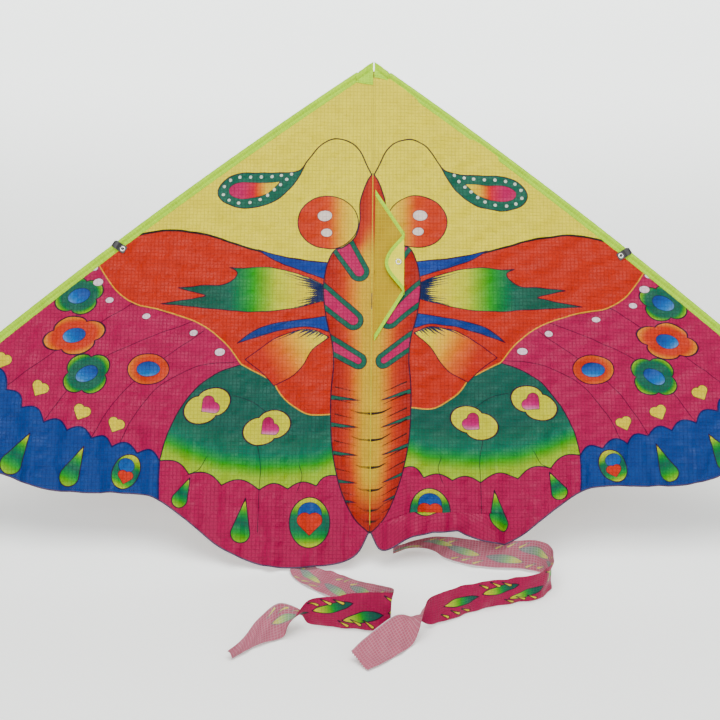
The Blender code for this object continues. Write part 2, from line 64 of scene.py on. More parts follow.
LEAN = radians(35)
SAIL_N = 0.00515  # the cloth lies this far in front of the spine's axis
HALF_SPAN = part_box("leading_edge_rod_right")[1].x
NOSE_V = 0.714
TIP_V = 0.140
EDGE_BOW = 0.018
HEM = (
    (0.000, 0.004), (0.018, -0.030), (0.047, -0.044), (0.100, -0.050), (0.138, -0.0495),
    (0.171, -0.042), (0.214, -0.022), (0.245, 0.002), (0.272, 0.023), (0.300, 0.042),
    (0.325, 0.051), (0.370, 0.053), (0.410, 0.053), (0.456, 0.056), (0.493, 0.065),
    (0.530, 0.079), (0.620, 0.100), (0.700, 0.112),
)
FLOOR_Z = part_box("tail_ribbon_left")[0].z - 0.0015
HUB_V = 0.3418  # the spreader crosses the spine here
SPREADER_RISE = 0.20
CLIP_U = 0.376
RIVET = (0.3695, 0.4157)
CLOTH = 0.0003  # thickness of the printed cloth
SLEEVE_ENDS = (0.0239, HALF_SPAN - 0.0099)
KEEL_TOP, KEEL_FOOT = 0.513, 0.281  # where the keel's free edges leave the seam
KEEL_ROOT, KEEL_CREASE = 0.004, 0.0475
CREASE_TOP, CREASE_FOOT = 0.4477, 0.3500
KEEL_LIFT = 0.00105
KEEL_TILT = radians(4)
CORNER_LIFT = radians(6)
CORNER_REACH = 0.0285
CORNER_SEAT = 0.0013
EYELET = (0.0085, 0.400)  # from the crease, and up the spine
BINDING = 0.0050

# ---- colours ------------------------------------------------------------------------


def srgb(code):
    return np.array([int(code[k : k + 2], 16) / 255 for k in (1, 3, 5)])


def linear(colour):
    """sRGB to linear light: a straight toe up to 0.04045 and a power of 2.4 above it."""
    values = srgb(colour) if isinstance(colour, str) else np.asarray(colour)
    return np.where(values <= 0.04045, values / 12.92, ((values + 0.055) / 1.055) ** 2.4)


def rgba(colour):
    return (*linear(colour), 1.0)


def ramp(t, *stops):
    """sRGB colours spread evenly over t from 0 to 1, mixed in straight lines between them."""
    places = np.linspace(0, 1, len(stops))
    table = np.array([srgb(code) for code in stops])
    return np.stack([np.interp(t, places, table[:, k]) for k in range(3)], axis=-1)


YELLOW, MAGENTA, BLUE, RED = "#f6e412", "#b01450", "#0b3f8a", "#c62f1c"
INK, NAVY, GREEN, LIME = "#2a0b2e", "#141a58", "#03604a", "#a9cf33"
ORANGE, PINK, PALE, BLACK = "#f4a62c", "#bd1c5c", "#fbe3ee", "#170d0c"

# ---- curves -------------------------------------------------------------------------


def smooth_curve(points, per_span=8):
    """Catmull-Rom: each span is a cubic whose end slopes come from the points beside it."""
    p = np.asarray(points, float)
    p = np.concatenate([2 * p[:1] - p[1:2], p, 2 * p[-1:] - p[-2:-1]])
    t = (np.arange(per_span) / per_span)[None, :, None]
    a, b, c, d = (p[k : len(p) - 3 + k][:, None, :] for k in range(4))
    spans = b + 0.5 * t * (c - a + t * (2 * a - 5 * b + 4 * c - d + t * (3 * (b - c) + d - a)))
    return np.concatenate([spans.reshape(-1, p.shape[1]), p[-2:-1]])


def joined(*runs):
    """One outline from several smooth runs in millimetres, with a corner where two meet."""
    return np.concatenate([smooth_curve(run, 6) for run in runs]) / 1000


def edge_v(x):
    """Leading edge: the chord from nose to tip plus a parabola for its bow."""
    t = x / HALF_SPAN
    return NOSE_V + (TIP_V - NOSE_V) * t + 4 * EDGE_BOW * t * (1 - t)


def edge_inward(x):
    """Unit vectors in the plane from the leading edge in towards the cloth."""
    slope = (TIP_V - NOSE_V) / HALF_SPAN + 4 * EDGE_BOW * (1 - 2 * x / HALF_SPAN) / HALF_SPAN
    size = np.sqrt(1 + slope**2)
    return slope / size, -1 / size


HEM_CURVE = smooth_curve(HEM)


def hem_v(x):
    return np.interp(x, HEM_CURVE[:, 0], HEM_CURVE[:, 1])


def ease(t):
    t = np.clip(t, 0, 1)
    return t * t * (3 - 2 * t)


def in_frame(u, v, n):
    """The kite's plane to the frame: v and n are turned by the lean about the u axis."""
    u, v, n = np.broadcast_arrays(u, v, n)
    points = [u, v * sin(LEAN) - n * cos(LEAN), v * cos(LEAN) + n * sin(LEAN)]
    return np.stack(points, axis=-1)


# ---- how the cloth hangs --------------------------------------------------------------


def crease(distance, height, width):
    """A fold line's profile: it falls off on both sides by an exponential, with no kink."""
    return height * np.exp(-np.sqrt(distance**2 + (width / 3) ** 2) / width)


def cloth_rise(sign, x, v):
    """How far the cloth stands off its plane: billow, flutes that deepen towards the hem,
    the spreader behind it, fold lines from packing, and small wrinkles as crossed waves."""
    hem, edge = hem_v(x), edge_v(x)
    up = np.clip((v - hem) / np.maximum(edge - hem, 0.02), 0, 1)
    free = ease(x / 0.05)
    rise = 0.0035 * np.sin(pi * up) * np.sin(pi * np.clip(x / HALF_SPAN, 0, 1)) * free
    fall = (1 - up) ** 3
    rise = rise + fall * free * 0.0055 * np.sin(2 * pi * x / 0.058 + 0.9 * sign)
    rise = rise + fall**2 * free * 0.0012 * np.sin(2 * pi * (x / 0.031 + 3 * v) + 2 * np.sin(40 * x))
    rise = rise + crease(v - HUB_V - SPREADER_RISE * x, 0.0012, 0.006) * ease((0.37 - x) / 0.03)
    for place, height in ((0.028, 0.0004), (0.108, -0.0007), (0.158, 0.0011), (0.262, -0.0008)):
        rise = rise + crease(x - place - 0.01 * v, height, 0.004) * ease((0.5 - v) / 0.2)
    for place, slope, height in ((0.58, -0.45, 0.0007), (0.30, 0.30, -0.0006), (0.21, 0.12, 0.0006)):
        rise = rise + crease(v - place - slope * x, height, 0.005) * free
    small = 0
    for turn, length, height, shift in (
        (0.3, 0.031, 0.00028, 0.2), (1.9, 0.024, 0.00022, 1.4), (2.6, 0.041, 0.00034, 2.2),
        (0.9, 0.018, 0.00014, 0.5), (1.4, 0.013, 0.00010, 3.1), (2.2, 0.052, 0.00040, 4.0),
    ):
        wave = (x * cos(turn + 0.2 * sign) + v * sin(turn)) / length
        small = small + height * np.sin(2 * pi * wave + shift + 1.3 * np.sin(9 * x + 7 * v))
    rise = (rise + 2.2 * small * free) * ease((edge - v - 0.013) / 0.020)
    return np.maximum(rise, -0.0012 * ease((x - 0.02) / 0.05))


def pleat_depth(x):
    """Cloth hidden in the pleat, which is deepest a third of the way out and ends in points."""
    return np.interp(x, (0.012, 0.05, 0.09, 0.125, 0.155, 0.192), (0, 0.018, 0.032, 0.035, 0.020, 0))


def hang(sign, x, v):
    """Where a printed point (x, v) lies in the plane, and how far its fold lifts it. The right
    half is hitched up towards its hem and has a pleat: the cloth goes down, back up in front
    of itself, and down again."""
    if sign < 0:
        return v, np.zeros_like(v)
    hem, edge = hem_v(x), edge_v(x)
    up = np.clip((v - hem) / np.maximum(edge - hem, 0.02), 0, 1)
    hitch = 0.019 * (1 - up) ** 1.5 * ease((x - 0.004) / 0.06) * ease((0.66 - x) / 0.15)
    depth = pleat_depth(x)
    turned = np.clip(0.013 - depth / 2 - v, 0, None)
    back = np.where(turned < depth / 2, 2 * turned, depth)
    lift = 0.0065 * ease((turned + 0.004) / (depth + 0.008)) * ease(depth / 0.008)
    return v + hitch + back, lift


def cloth_point(sign, x, v, lift=0.0):
    """A printed point in the frame, raised off the cloth by lift."""
    x, v = np.broadcast_arrays(np.asarray(x, float), np.asarray(v, float))
    place, fold = hang(sign, x, v)
    return in_frame(sign * x, place, SAIL_N + cloth_rise(sign, x, v) + fold + lift)


# ---- meshes --------------------------------------------------------------------------


def mesh_piece(name, points, faces, materials, kinds=None, uv=None):
    """A mesh object from arrays: points, faces, a material number for each face, and cloth
    coordinates in metres for each point."""
    mesh = bpy.data.meshes.new(name)
    mesh.from_pydata(points.reshape(-1, 3).tolist(), [], faces.tolist())
    for material in materials:
        mesh.materials.append(material)
    if kinds is not None:
        mesh.polygons.foreach_set("material_index", kinds.astype(np.int32))
    if uv is not None:
        corners = np.empty(len(mesh.loops), np.int32)
        mesh.loops.foreach_get("vertex_index", corners)
        mesh.uv_layers.new(name="cloth").data.foreach_set("uv", uv.reshape(-1, 2)[corners].ravel())
    mesh.shade_smooth()
    piece = bpy.data.objects.new(name, mesh)
    bpy.context.scene.collection.objects.link(piece)
    return piece


def turn_outward(piece, ends=()):
    """Closes each open end with one flat face and turns every face outwards."""
    shape = bmesh.new()
    shape.from_mesh(piece.data)
    shape.verts.ensure_lookup_table()
    for ring in ends:
        end = shape.faces.new([shape.verts[k] for k in ring])
        end.smooth = False
        for rim_edge in end.edges:
            rim_edge.smooth = False
    bmesh.ops.recalc_face_normals(shape, faces=shape.faces)
    shape.to_mesh(piece.data)
    shape.free()


def sheet_piece(name, face, back, uv, materials, mirrored=False, fields=None, fills=None):
    """A closed sheet: one grid of points for its face, one for its back, and a rim between
    them. Rows run up and columns outwards. The edges round the rim are sharp."""
    rows, cols = face.shape[:2]
    count = rows * cols
    ids = np.arange(count).reshape(rows, cols)
    corners = [ids[:-1, :-1], ids[:-1, 1:], ids[1:, 1:], ids[1:, :-1]]
    quads = np.stack(corners, axis=-1).reshape(-1, 4)
    edge = np.concatenate([ids[0], ids[1:, -1], ids[-1, -2::-1], ids[-2:0:-1, 0]])
    after = np.roll(edge, -1)
    rim = np.stack([after, edge, edge + count, after + count], axis=-1)
    faces = np.concatenate([quads, quads[:, ::-1] + count, rim])
    if mirrored:
        faces = faces[:, ::-1]
    kinds = np.concatenate([np.zeros(len(quads)), np.ones(len(quads) + len(rim))])
    kinds = np.minimum(kinds, len(materials) - 1)
    points = np.concatenate([face.reshape(-1, 3), back.reshape(-1, 3)])
    uv = np.concatenate([uv.reshape(-1, 2)] * 2)
    piece = mesh_piece(name, points, faces, materials, kinds, uv)
    mesh = piece.data
    on_rim = np.zeros(2 * count, bool)
    on_rim[edge] = on_rim[edge + count] = True
    ends = np.empty(2 * len(mesh.edges), np.int32)
    mesh.edges.foreach_get("vertices", ends)
    sharp = mesh.attributes.new("sharp_edge", "BOOLEAN", "EDGE")
    sharp.data.foreach_set("value", on_rim[ends.reshape(-1, 2)].all(axis=1))
    for label, values in (fields or {}).items():
        stored = mesh.attributes.new(label, "FLOAT_VECTOR", "POINT")
        stored.data.foreach_set("vector", np.tile(values, (2, 1)).astype(np.float32).ravel())
    for label, values in (fills or {}).items():
        stored = mesh.attributes.new(label, "FLOAT_COLOR", "POINT")
        colour = np.ones((count, 4))
        colour[:, :3] = linear(values)
        stored.data.foreach_set("color", np.tile(colour, (2, 1)).astype(np.float32).ravel())
    return piece


def thick_sheet(name, middle, thickness, uv, materials, mirrored=False, **stored):
    """A closed sheet round a grid of points, half its thickness to each side along the
    grid's normals."""
    down = np.gradient(middle, axis=0)
    across = np.gradient(middle, axis=1)
    normal = np.cross(across, down)
    normal /= np.maximum(np.linalg.norm(normal, axis=-1, keepdims=True), 1e-12)
    if mirrored:
        normal = -normal
    shift = normal * thickness / 2
    return sheet_piece(name, middle + shift, middle - shift, uv, materials, mirrored, **stored)


def swept_piece(name, path, across, out, profile, material, uv_scale=1.0):
    """A closed profile of (across, out) carried along a path, with flat ends. profile is one
    loop, or one loop for each point of the path."""
    loops = np.broadcast_to(profile, (len(path), *np.shape(profile)[-2:]))
    points = path[:, None] + loops[..., :1] * across[:, None] + loops[..., 1:] * out[:, None]
    rows, cols = points.shape[:2]
    ids = np.arange(rows * cols).reshape(rows, cols)
    after = np.roll(ids, -1, axis=1)
    quads = np.stack([ids[:-1], after[:-1], after[1:], ids[1:]], axis=-1).reshape(-1, 4)
    steps = np.linalg.norm(np.diff(path, axis=0), axis=1)
    along = np.concatenate([[0], np.cumsum(steps)])
    round_about = np.linspace(0, 0.03, cols)
    uv = np.stack(np.broadcast_arrays(along[:, None], round_about[None]), axis=-1) * uv_scale
    piece = mesh_piece(name, points, quads, [material], uv=uv)
    turn_outward(piece, (ids[0], ids[-1]))
    return piece


def along_path(path, pitch):
    """Points at an even pitch along a path, with the path's direction at each."""
    steps = np.linalg.norm(np.diff(path, axis=0), axis=1)
    run = np.concatenate([[0], np.cumsum(steps)])
    stops = np.arange(pitch / 2, run[-1], pitch)
    places = np.stack([np.interp(stops, run, path[:, k]) for k in range(3)], axis=-1)
    ahead = np.stack([np.interp(stops + pitch / 4, run, path[:, k]) for k in range(3)], axis=-1)
    behind = np.stack([np.interp(stops - pitch / 4, run, path[:, k]) for k in range(3)], axis=-1)
    way = ahead - behind
    return places, way / np.linalg.norm(way, axis=1, keepdims=True)


def stitch_row(name, path, out, material, pitch=0.0030, length=0.0021, width=0.00055):
    """Lockstitches: each is a spindle with pointed ends and a four-cornered middle, laid
    along the path at an even pitch."""
    places, way = along_path(path, pitch)
    out = np.broadcast_to(out, places.shape)
    side = np.cross(way, out)
    spindle = [-way * length / 2, way * length / 2]
    spindle += [side * width / 2, out * width / 3, -side * width / 2, -out * width / 3]
    points = places[:, None] + np.stack(spindle, axis=1)
    one = np.array([(0, 2 + k, 2 + (k + 1) % 4) for k in range(4)])
    one = np.concatenate([one, np.array([(1, 2 + (k + 1) % 4, 2 + k) for k in range(4)])])
    faces = (one[None] + 6 * np.arange(len(places))[:, None, None]).reshape(-1, 3)
    piece = mesh_piece(name, points, faces, [material])
    turn_outward(piece)
    return piece


def ring_piece(name, centre, axis, section, material, sides=48):
    """A closed section of (radius, height) turned about an axis through the centre."""
    section = np.asarray(section)
    turn = np.linspace(0, 2 * pi, sides, endpoint=False)
    axis = Vector(axis).normalized()
    first = Vector((1, 0, 0)).cross(axis).normalized()
    second = axis.cross(first)
    spoke = np.outer(np.cos(turn), first) + np.outer(np.sin(turn), second)
    points = spoke[:, None] * section[None, :, :1] + np.array(axis) * section[None, :, 1:]
    points = points + np.asarray(centre)
    ids = np.arange(sides * len(section)).reshape(sides, -1)
    beside, above = np.roll(ids, -1, axis=0), np.roll(ids, -1, axis=1)
    both = np.roll(beside, -1, axis=1)
    faces = np.stack([ids, beside, both, above], axis=-1).reshape(-1, 4)
    piece = mesh_piece(name, points, faces, [material])
    turn_outward(piece)
    return piece


# ---- fields of the print ---------------------------------------------------------------


def near_line(points, line):
    """Metres to the nearest part of a line, below zero to the right of its direction."""
    best = np.full(len(points), 1e9)
    side = np.ones(len(points))
    for a, b in zip(line[:-1], line[1:]):
        run = b - a
        away = points - a
        share = np.clip(away @ run / (run @ run), 0, 1)
        gap = np.linalg.norm(away - share[:, None] * run, axis=1)
        nearer = gap < best
        best = np.where(nearer, gap, best)
        side = np.where(nearer, np.sign(run[0] * away[:, 1] - run[1] * away[:, 0]), side)
    return best * side


def area(points, outline):
    """Field of a closed outline: distance to it, with its sign from a count of crossings."""
    loop = np.concatenate([outline, outline[:1]])
    moves = np.concatenate([[True], np.any(np.diff(loop, axis=0), axis=1)])
    distance = np.abs(near_line(points, loop[moves]))
    inside = np.zeros(len(points), bool)
    x, y = points.T
    for (ax, ay), (bx, by) in zip(loop[:-1], loop[1:]):
        if ay == by:
            continue
        crosses = ((ay > y) != (by > y)) & (x < (bx - ax) * (y - ay) / (by - ay) + ax)
        inside ^= crosses
    return np.where(inside, -distance, distance)


def local(points, centre, angle=0.0):
    """Coordinates about a centre given in millimetres, turned by an angle in degrees."""
    away = points - np.asarray(centre) / 1000
    c, s = cos(radians(angle)), sin(radians(angle))
    return away[:, 0] * c + away[:, 1] * s, -away[:, 0] * s + away[:, 1] * c


def oval(points, centre, rx, ry, angle=0.0):
    """Ellipse: its implicit form divided by the length of that form's slope."""
    x, y = local(points, centre, angle)
    rx, ry = rx / 1000, ry / 1000
    first = np.hypot(x / rx, y / ry)
    second = np.maximum(np.hypot(x / rx**2, y / ry**2), 1e-9)
    return first * (first - 1) / second


def heart(points, tip, size, angle=0.0):
    """Heart: two round lobes over a square that stands on its corner, the tip."""
    x, y = local(points, tip, angle)
    x, y = np.abs(x) / (size / 1000), y / (size / 1000)
    lobe = np.hypot(x - 0.25, y - 0.75) - 0.35355
    half = np.maximum(x + y, 0) / 2
    low = np.minimum(x**2 + (y - 1) ** 2, (x - half) ** 2 + (y - half) ** 2)
    low = np.sqrt(low) * np.sign(x - y)
    return np.where(x + y > 1, lobe, low) * size / 1000


def drop(points, tip, foot, radius):
    """Teardrop: a circle at its foot and the two straight lines from it to its tip."""
    tip, foot = np.asarray(tip) / 1000, np.asarray(foot) / 1000
    radius = radius / 1000
    way = tip - foot
    length = np.hypot(*way) - radius
    way = way / np.hypot(*way)
    away = points - (foot + way * radius)
    x, y = np.abs(away[:, 0] * way[1] - away[:, 1] * way[0]), away @ way
    lean = radius / length
    flat = np.sqrt(1 - lean**2)
    side = -lean * x + flat * y
    body = flat * x + lean * y - radius
    field = np.where(side < 0, np.hypot(x, y) - radius, body)
    return np.where(side > flat * length, np.hypot(x, y - length), field), y / length


def capsule(points, a, b, radius, end_radius=None):
    """A rod of the given radius from a to b, with round ends. It may taper."""
    a, b = np.asarray(a) / 1000, np.asarray(b) / 1000
    away, run = points - a, b - a
    share = np.clip(away @ run / (run @ run), 0, 1)
    width = radius + (0 if end_radius is None else (end_radius - radius) * share)
    return np.linalg.norm(away - share[:, None] * run, axis=1) - width / 1000


def inked(shapes):
    """Joins shapes, each a field with its colour: the nearest shape gives the colour."""
    fields = np.stack([field for field, _ in shapes])
    first = fields.argmin(axis=0)
    count = fields.shape[1]
    fills = np.stack([
        np.broadcast_to(srgb(fill) if isinstance(fill, str) else fill, (count, 3))
        for _, fill in shapes
    ])
    return fields.min(axis=0), fills[first, np.arange(count)]


BODY_EDGE = joined(
    [(0, 539), (8, 527), (15, 508), (19, 490), (19, 462), (26, 438), (42, 424), (56, 418),
     (66, 397), (71, 370), (71, 345), (66, 312), (57, 275), (55, 243), (58, 205), (58, 165),
     (55, 119), (47, 78), (36, 46), (22, 20), (3, 2)],
    [(3, 2), (-20, 2)],
    [(-20, 2), (-20, 539)],
)
RED_TOP = [(404, 392), (382, 415), (351, 436), (300, 445), (254, 440), (229, 434), (173, 416),
           (118, 404), (62, 397)]
RED_LOW = [(404, 392), (390, 370), (372, 348), (345, 331), (306, 322), (252, 303), (214, 275),
           (189, 243)]
LOBE_TOP = [(189, 243), (167, 244), (147, 250)]
LOBE_LOW = [(147, 250), (143, 222), (129, 197), (108, 180), (86, 170), (54, 172)]
SCALLOP_CUSPS = [(562, 236), (528, 201), (505, 175), (472, 154), (437, 142), (402, 132),
                 (372, 119), (336, 111), (303, 100)]
GREEN_CUSPS = [(303, 100), (260, 81), (213, 66), (159, 60), (118, 62), (77, 66), (45, 82)]


def scallops(cusps, bulge):
    """Arcs from cusp to cusp, each half a sine wave that bows up by a share of its width."""
    runs = []
    t = np.linspace(0, 1, 7)[:, None]
    for a, b in zip(np.array(cusps[:-1], float), np.array(cusps[1:], float)):
        up = np.array([b[1] - a[1], a[0] - b[0]])
        up = up if up[1] > 0 else -up
        runs.append(a + (b - a) * t + up * bulge * np.sin(pi * t))
    return runs


def ground_fields(p):
    """The large coloured areas, from the back one to the front one."""
    rest = [(378, 470), (800, 470), (800, -100), (-20, -100), (-20, 300), (300, 360)]
    hind = area(p, np.array(rest) / 1000)
    veins = [
        [(352, 331), (310, 322), (300, 318)],
        [(350, 333), (440, 274), (486, 240), (535, 202)],
        [(262, 306), (325, 281), (392, 248), (436, 206), (470, 158)],
        [(245, 292), (308, 246), (348, 212), (380, 172), (402, 134)],
        [(196, 247), (252, 239), (308, 208), (345, 160), (362, 122)],
    ]
    veins = [near_line(p, smooth_curve(v) / 1000) for v in veins]
    blue = area(p, joined(*scallops(SCALLOP_CUSPS, 0.30), [(303, 100), (303, 60), (298, -60)],
                          [(298, -60), (720, -60)], [(720, -60), (720, 236)]))
    top = [(150, 253), (189, 243), (226, 228), (252, 208), (276, 176), (293, 140), (303, 100)]
    green = area(p, joined(top, *scallops(GREEN_CUSPS, 0.20), [(45, 82), (30, 130), (30, 253)]))
    ribs = [[(164, 131), (158, 96), (159, 60), (160, 0)], [(236, 106), (246, 88), (260, 81)],
            [(102, 96), (98, 80), (104, 60)], [(198, 196), (172, 188), (150, 172)]]
    ribs = [near_line(p, smooth_curve(r) / 1000) for r in ribs]
    red = np.minimum(
        area(p, joined(RED_TOP, [(62, 397), (40, 330), (50, 170)], [(50, 170), (189, 243)],
                       RED_LOW[::-1])),
        area(p, joined(LOBE_TOP, LOBE_LOW, [(54, 172), (54, 300)], [(54, 300), (189, 243)])),
    )
    shoulder = near_line(p, smooth_curve(RED_TOP) / 1000)
    return hind, nearest_sign(veins), blue, green, nearest_sign(ribs), red, shoulder


def nearest_sign(lines):
    stack = np.stack(lines)
    return stack[np.abs(stack).argmin(axis=0), np.arange(stack.shape[1])]


def leaf_shapes(p):
    """The blue slivers and shaded leaves that spread from the body over the red wing."""
    x, v = p.T * 1000
    sliver = area(p, joined([(172, 418), (118, 404), (64, 398)], [(64, 398), (70, 374)],
                            [(70, 374), (107, 387), (144, 401), (172, 418)]))
    sickle = area(p, joined([(196, 274), (170, 295), (132, 307), (68, 317)], [(68, 317), (62, 294)],
                            [(62, 294), (90, 301), (123, 297), (160, 287), (196, 274)]))
    upper = area(p, joined(
        [(70, 364), (95, 376), (128, 386), (158, 390), (196, 388), (211, 389)],
        [(211, 389), (199, 382), (204, 371), (221, 362), (247, 361), (286, 357)],
        [(286, 357), (258, 350), (244, 345), (262, 341), (310, 332)],
        [(310, 332), (270, 329), (222, 325), (168, 322), (119, 328), (70, 340)],
    ))
    lower = area(p, joined([(62, 286), (84, 296), (108, 295), (143, 281), (184, 250)],
                           [(184, 250), (160, 232), (141, 212)],
                           [(141, 212), (117, 225), (100, 243), (86, 266), (62, 286)]))
    leaf = ramp((x - 70) / 175, "#f0dc22", "#ead92a", "#c6d02e", "#3c9a3c", GREEN, "#035442")
    flame = ramp((x - 60 + 0.5 * (300 - v)) / 120, "#f6e02c", "#f6df2e", "#f7b62e", "#e4661f", RED)
    blue = ramp((x - 60) / 120, "#163f96", "#12357f")
    return inked([(sliver, blue), (sickle, blue), (upper, leaf), (lower, flame)])


def hair_field(p, leaves):
    """Hairs that fan out of each leaf's root and taper: a sine of the angle round the root is
    zero along each hair, and is divided by the hair's half width where it is."""
    x, v = p.T * 1000
    fans = []
    for (root_x, root_v), step, leans in (((22, 352), 0.046, (-0.42, 0.42)),
                                          ((18, 338), 0.050, (-1.05, -0.30))):
        away, turn = np.hypot(x - root_x, v - root_v), np.arctan2(v - root_v, x - root_x)
        wave = away * step / pi * np.sin(pi * turn / step)
        if root_v == 352:
            reach = 34 + 62 * np.abs(turn / 0.42) ** 1.3 + 6 * np.cos(2.2 * turn / step)
            width = 1.7 * np.clip(1 - (x - 62) / reach, 0, 1)
        else:
            below = np.interp(x, (60, 123, 165), (295, 297, 286)) - v
            width = 1.6 * np.clip(1 - below / (13 + 4 * np.cos(2.2 * turn / step)), 0, 1)
            width = np.where(below < -1.5, 0, width)
        inside = (turn > leans[0]) & (turn < leans[1]) & (width > 0.12) & (leaves < 0.0004)
        fans.append(np.where(inside, wave / np.maximum(width, 0.12), 9.0) / 1000)
    return nearest_sign(fans)


LOOPS = (((48, 432), (19, 386), 18, 15), ((88, 362), (27, 312), 17, 15),
         ((76, 284), (19, 251), 14, 12.5))


def body_shapes(p):
    """Head, chest and tail of the insect, its green loops and spikes, and its dark bars."""
    x, v = p.T * 1000
    body = area(p, BODY_EDGE)
    width = np.interp(v, (0, 46, 119, 243, 345, 400, 430, 470, 530),
                      (14, 36, 55, 55, 71, 66, 30, 19, 8))
    share = x / width
    low = ramp(share, "#d9b022", "#dcae24", "#e08226", "#cc4424", "#b62c1e", "#a8261e")
    high = ramp(share, "#c8401f", "#c43a20", "#b8301c", "#ae2a1a")
    glow = ramp((v - 20) / 80, "#b02a1c", "#cf5a22", "#dcae24")
    banded = high + (low - high) * ease((470 - v) / 60)[:, None]
    tail = ease((90 - v) / 70)[:, None]
    fill = banded * (1 - tail) + np.minimum(banded, glow) * tail
    loops = [capsule(p, a, b, r, end) for a, b, r, end in LOOPS]
    spikes = [capsule(p, (62, level + 4), (14 + k, level - 1), 3.6, 0.3)
              for k, level in enumerate((193, 153, 112, 72, 44))]
    green = np.maximum(np.minimum.reduce(loops + spikes), body)
    cores = [capsule(p, a, b, r - 6.5, end - 7.5) for a, b, r, end in LOOPS]
    pink = np.maximum(np.minimum.reduce(cores), body + 0.0008)
    bars = []
    for level in (173, 134, 94, 61, 32, 16):
        reach = np.interp(level, (16, 61, 173), (16, 24, 34))
        bars.append(capsule(p, (0, level), (reach / 2, level + 1), 2.0, 1.4))
        bars.append(capsule(p, (reach / 2, level + 1), (reach, level + 6), 1.4, 0.4))
    for level in (203, 185, 163, 145, 124, 104, 84, 52, 38, 27):
        bars.append(capsule(p, (16, level), (52, level + 9), 0.6, 1.1))
    return body, fill, green, np.maximum(np.minimum.reduce(bars), body), pink


def flower(p, centre, long, short, angle, inner, outer, petals=4, notch=0.26):
    """Petals round an ellipse: its radius swells and shrinks as a cosine of the angle. The
    colour turns from inner to outer with the radius."""
    x, y = local(p, centre, angle)
    x, y = x / long * 1000, y / short * 1000
    radius, turn = np.hypot(x, y), np.arctan2(y, x)
    wave = 1 - notch + notch * np.abs(np.cos(petals * turn / 2 + 0.25)) ** 0.7
    return (radius - wave) * 0.85 * short / 1000, ramp((radius - 0.4) / 0.6, inner, inner, outer)


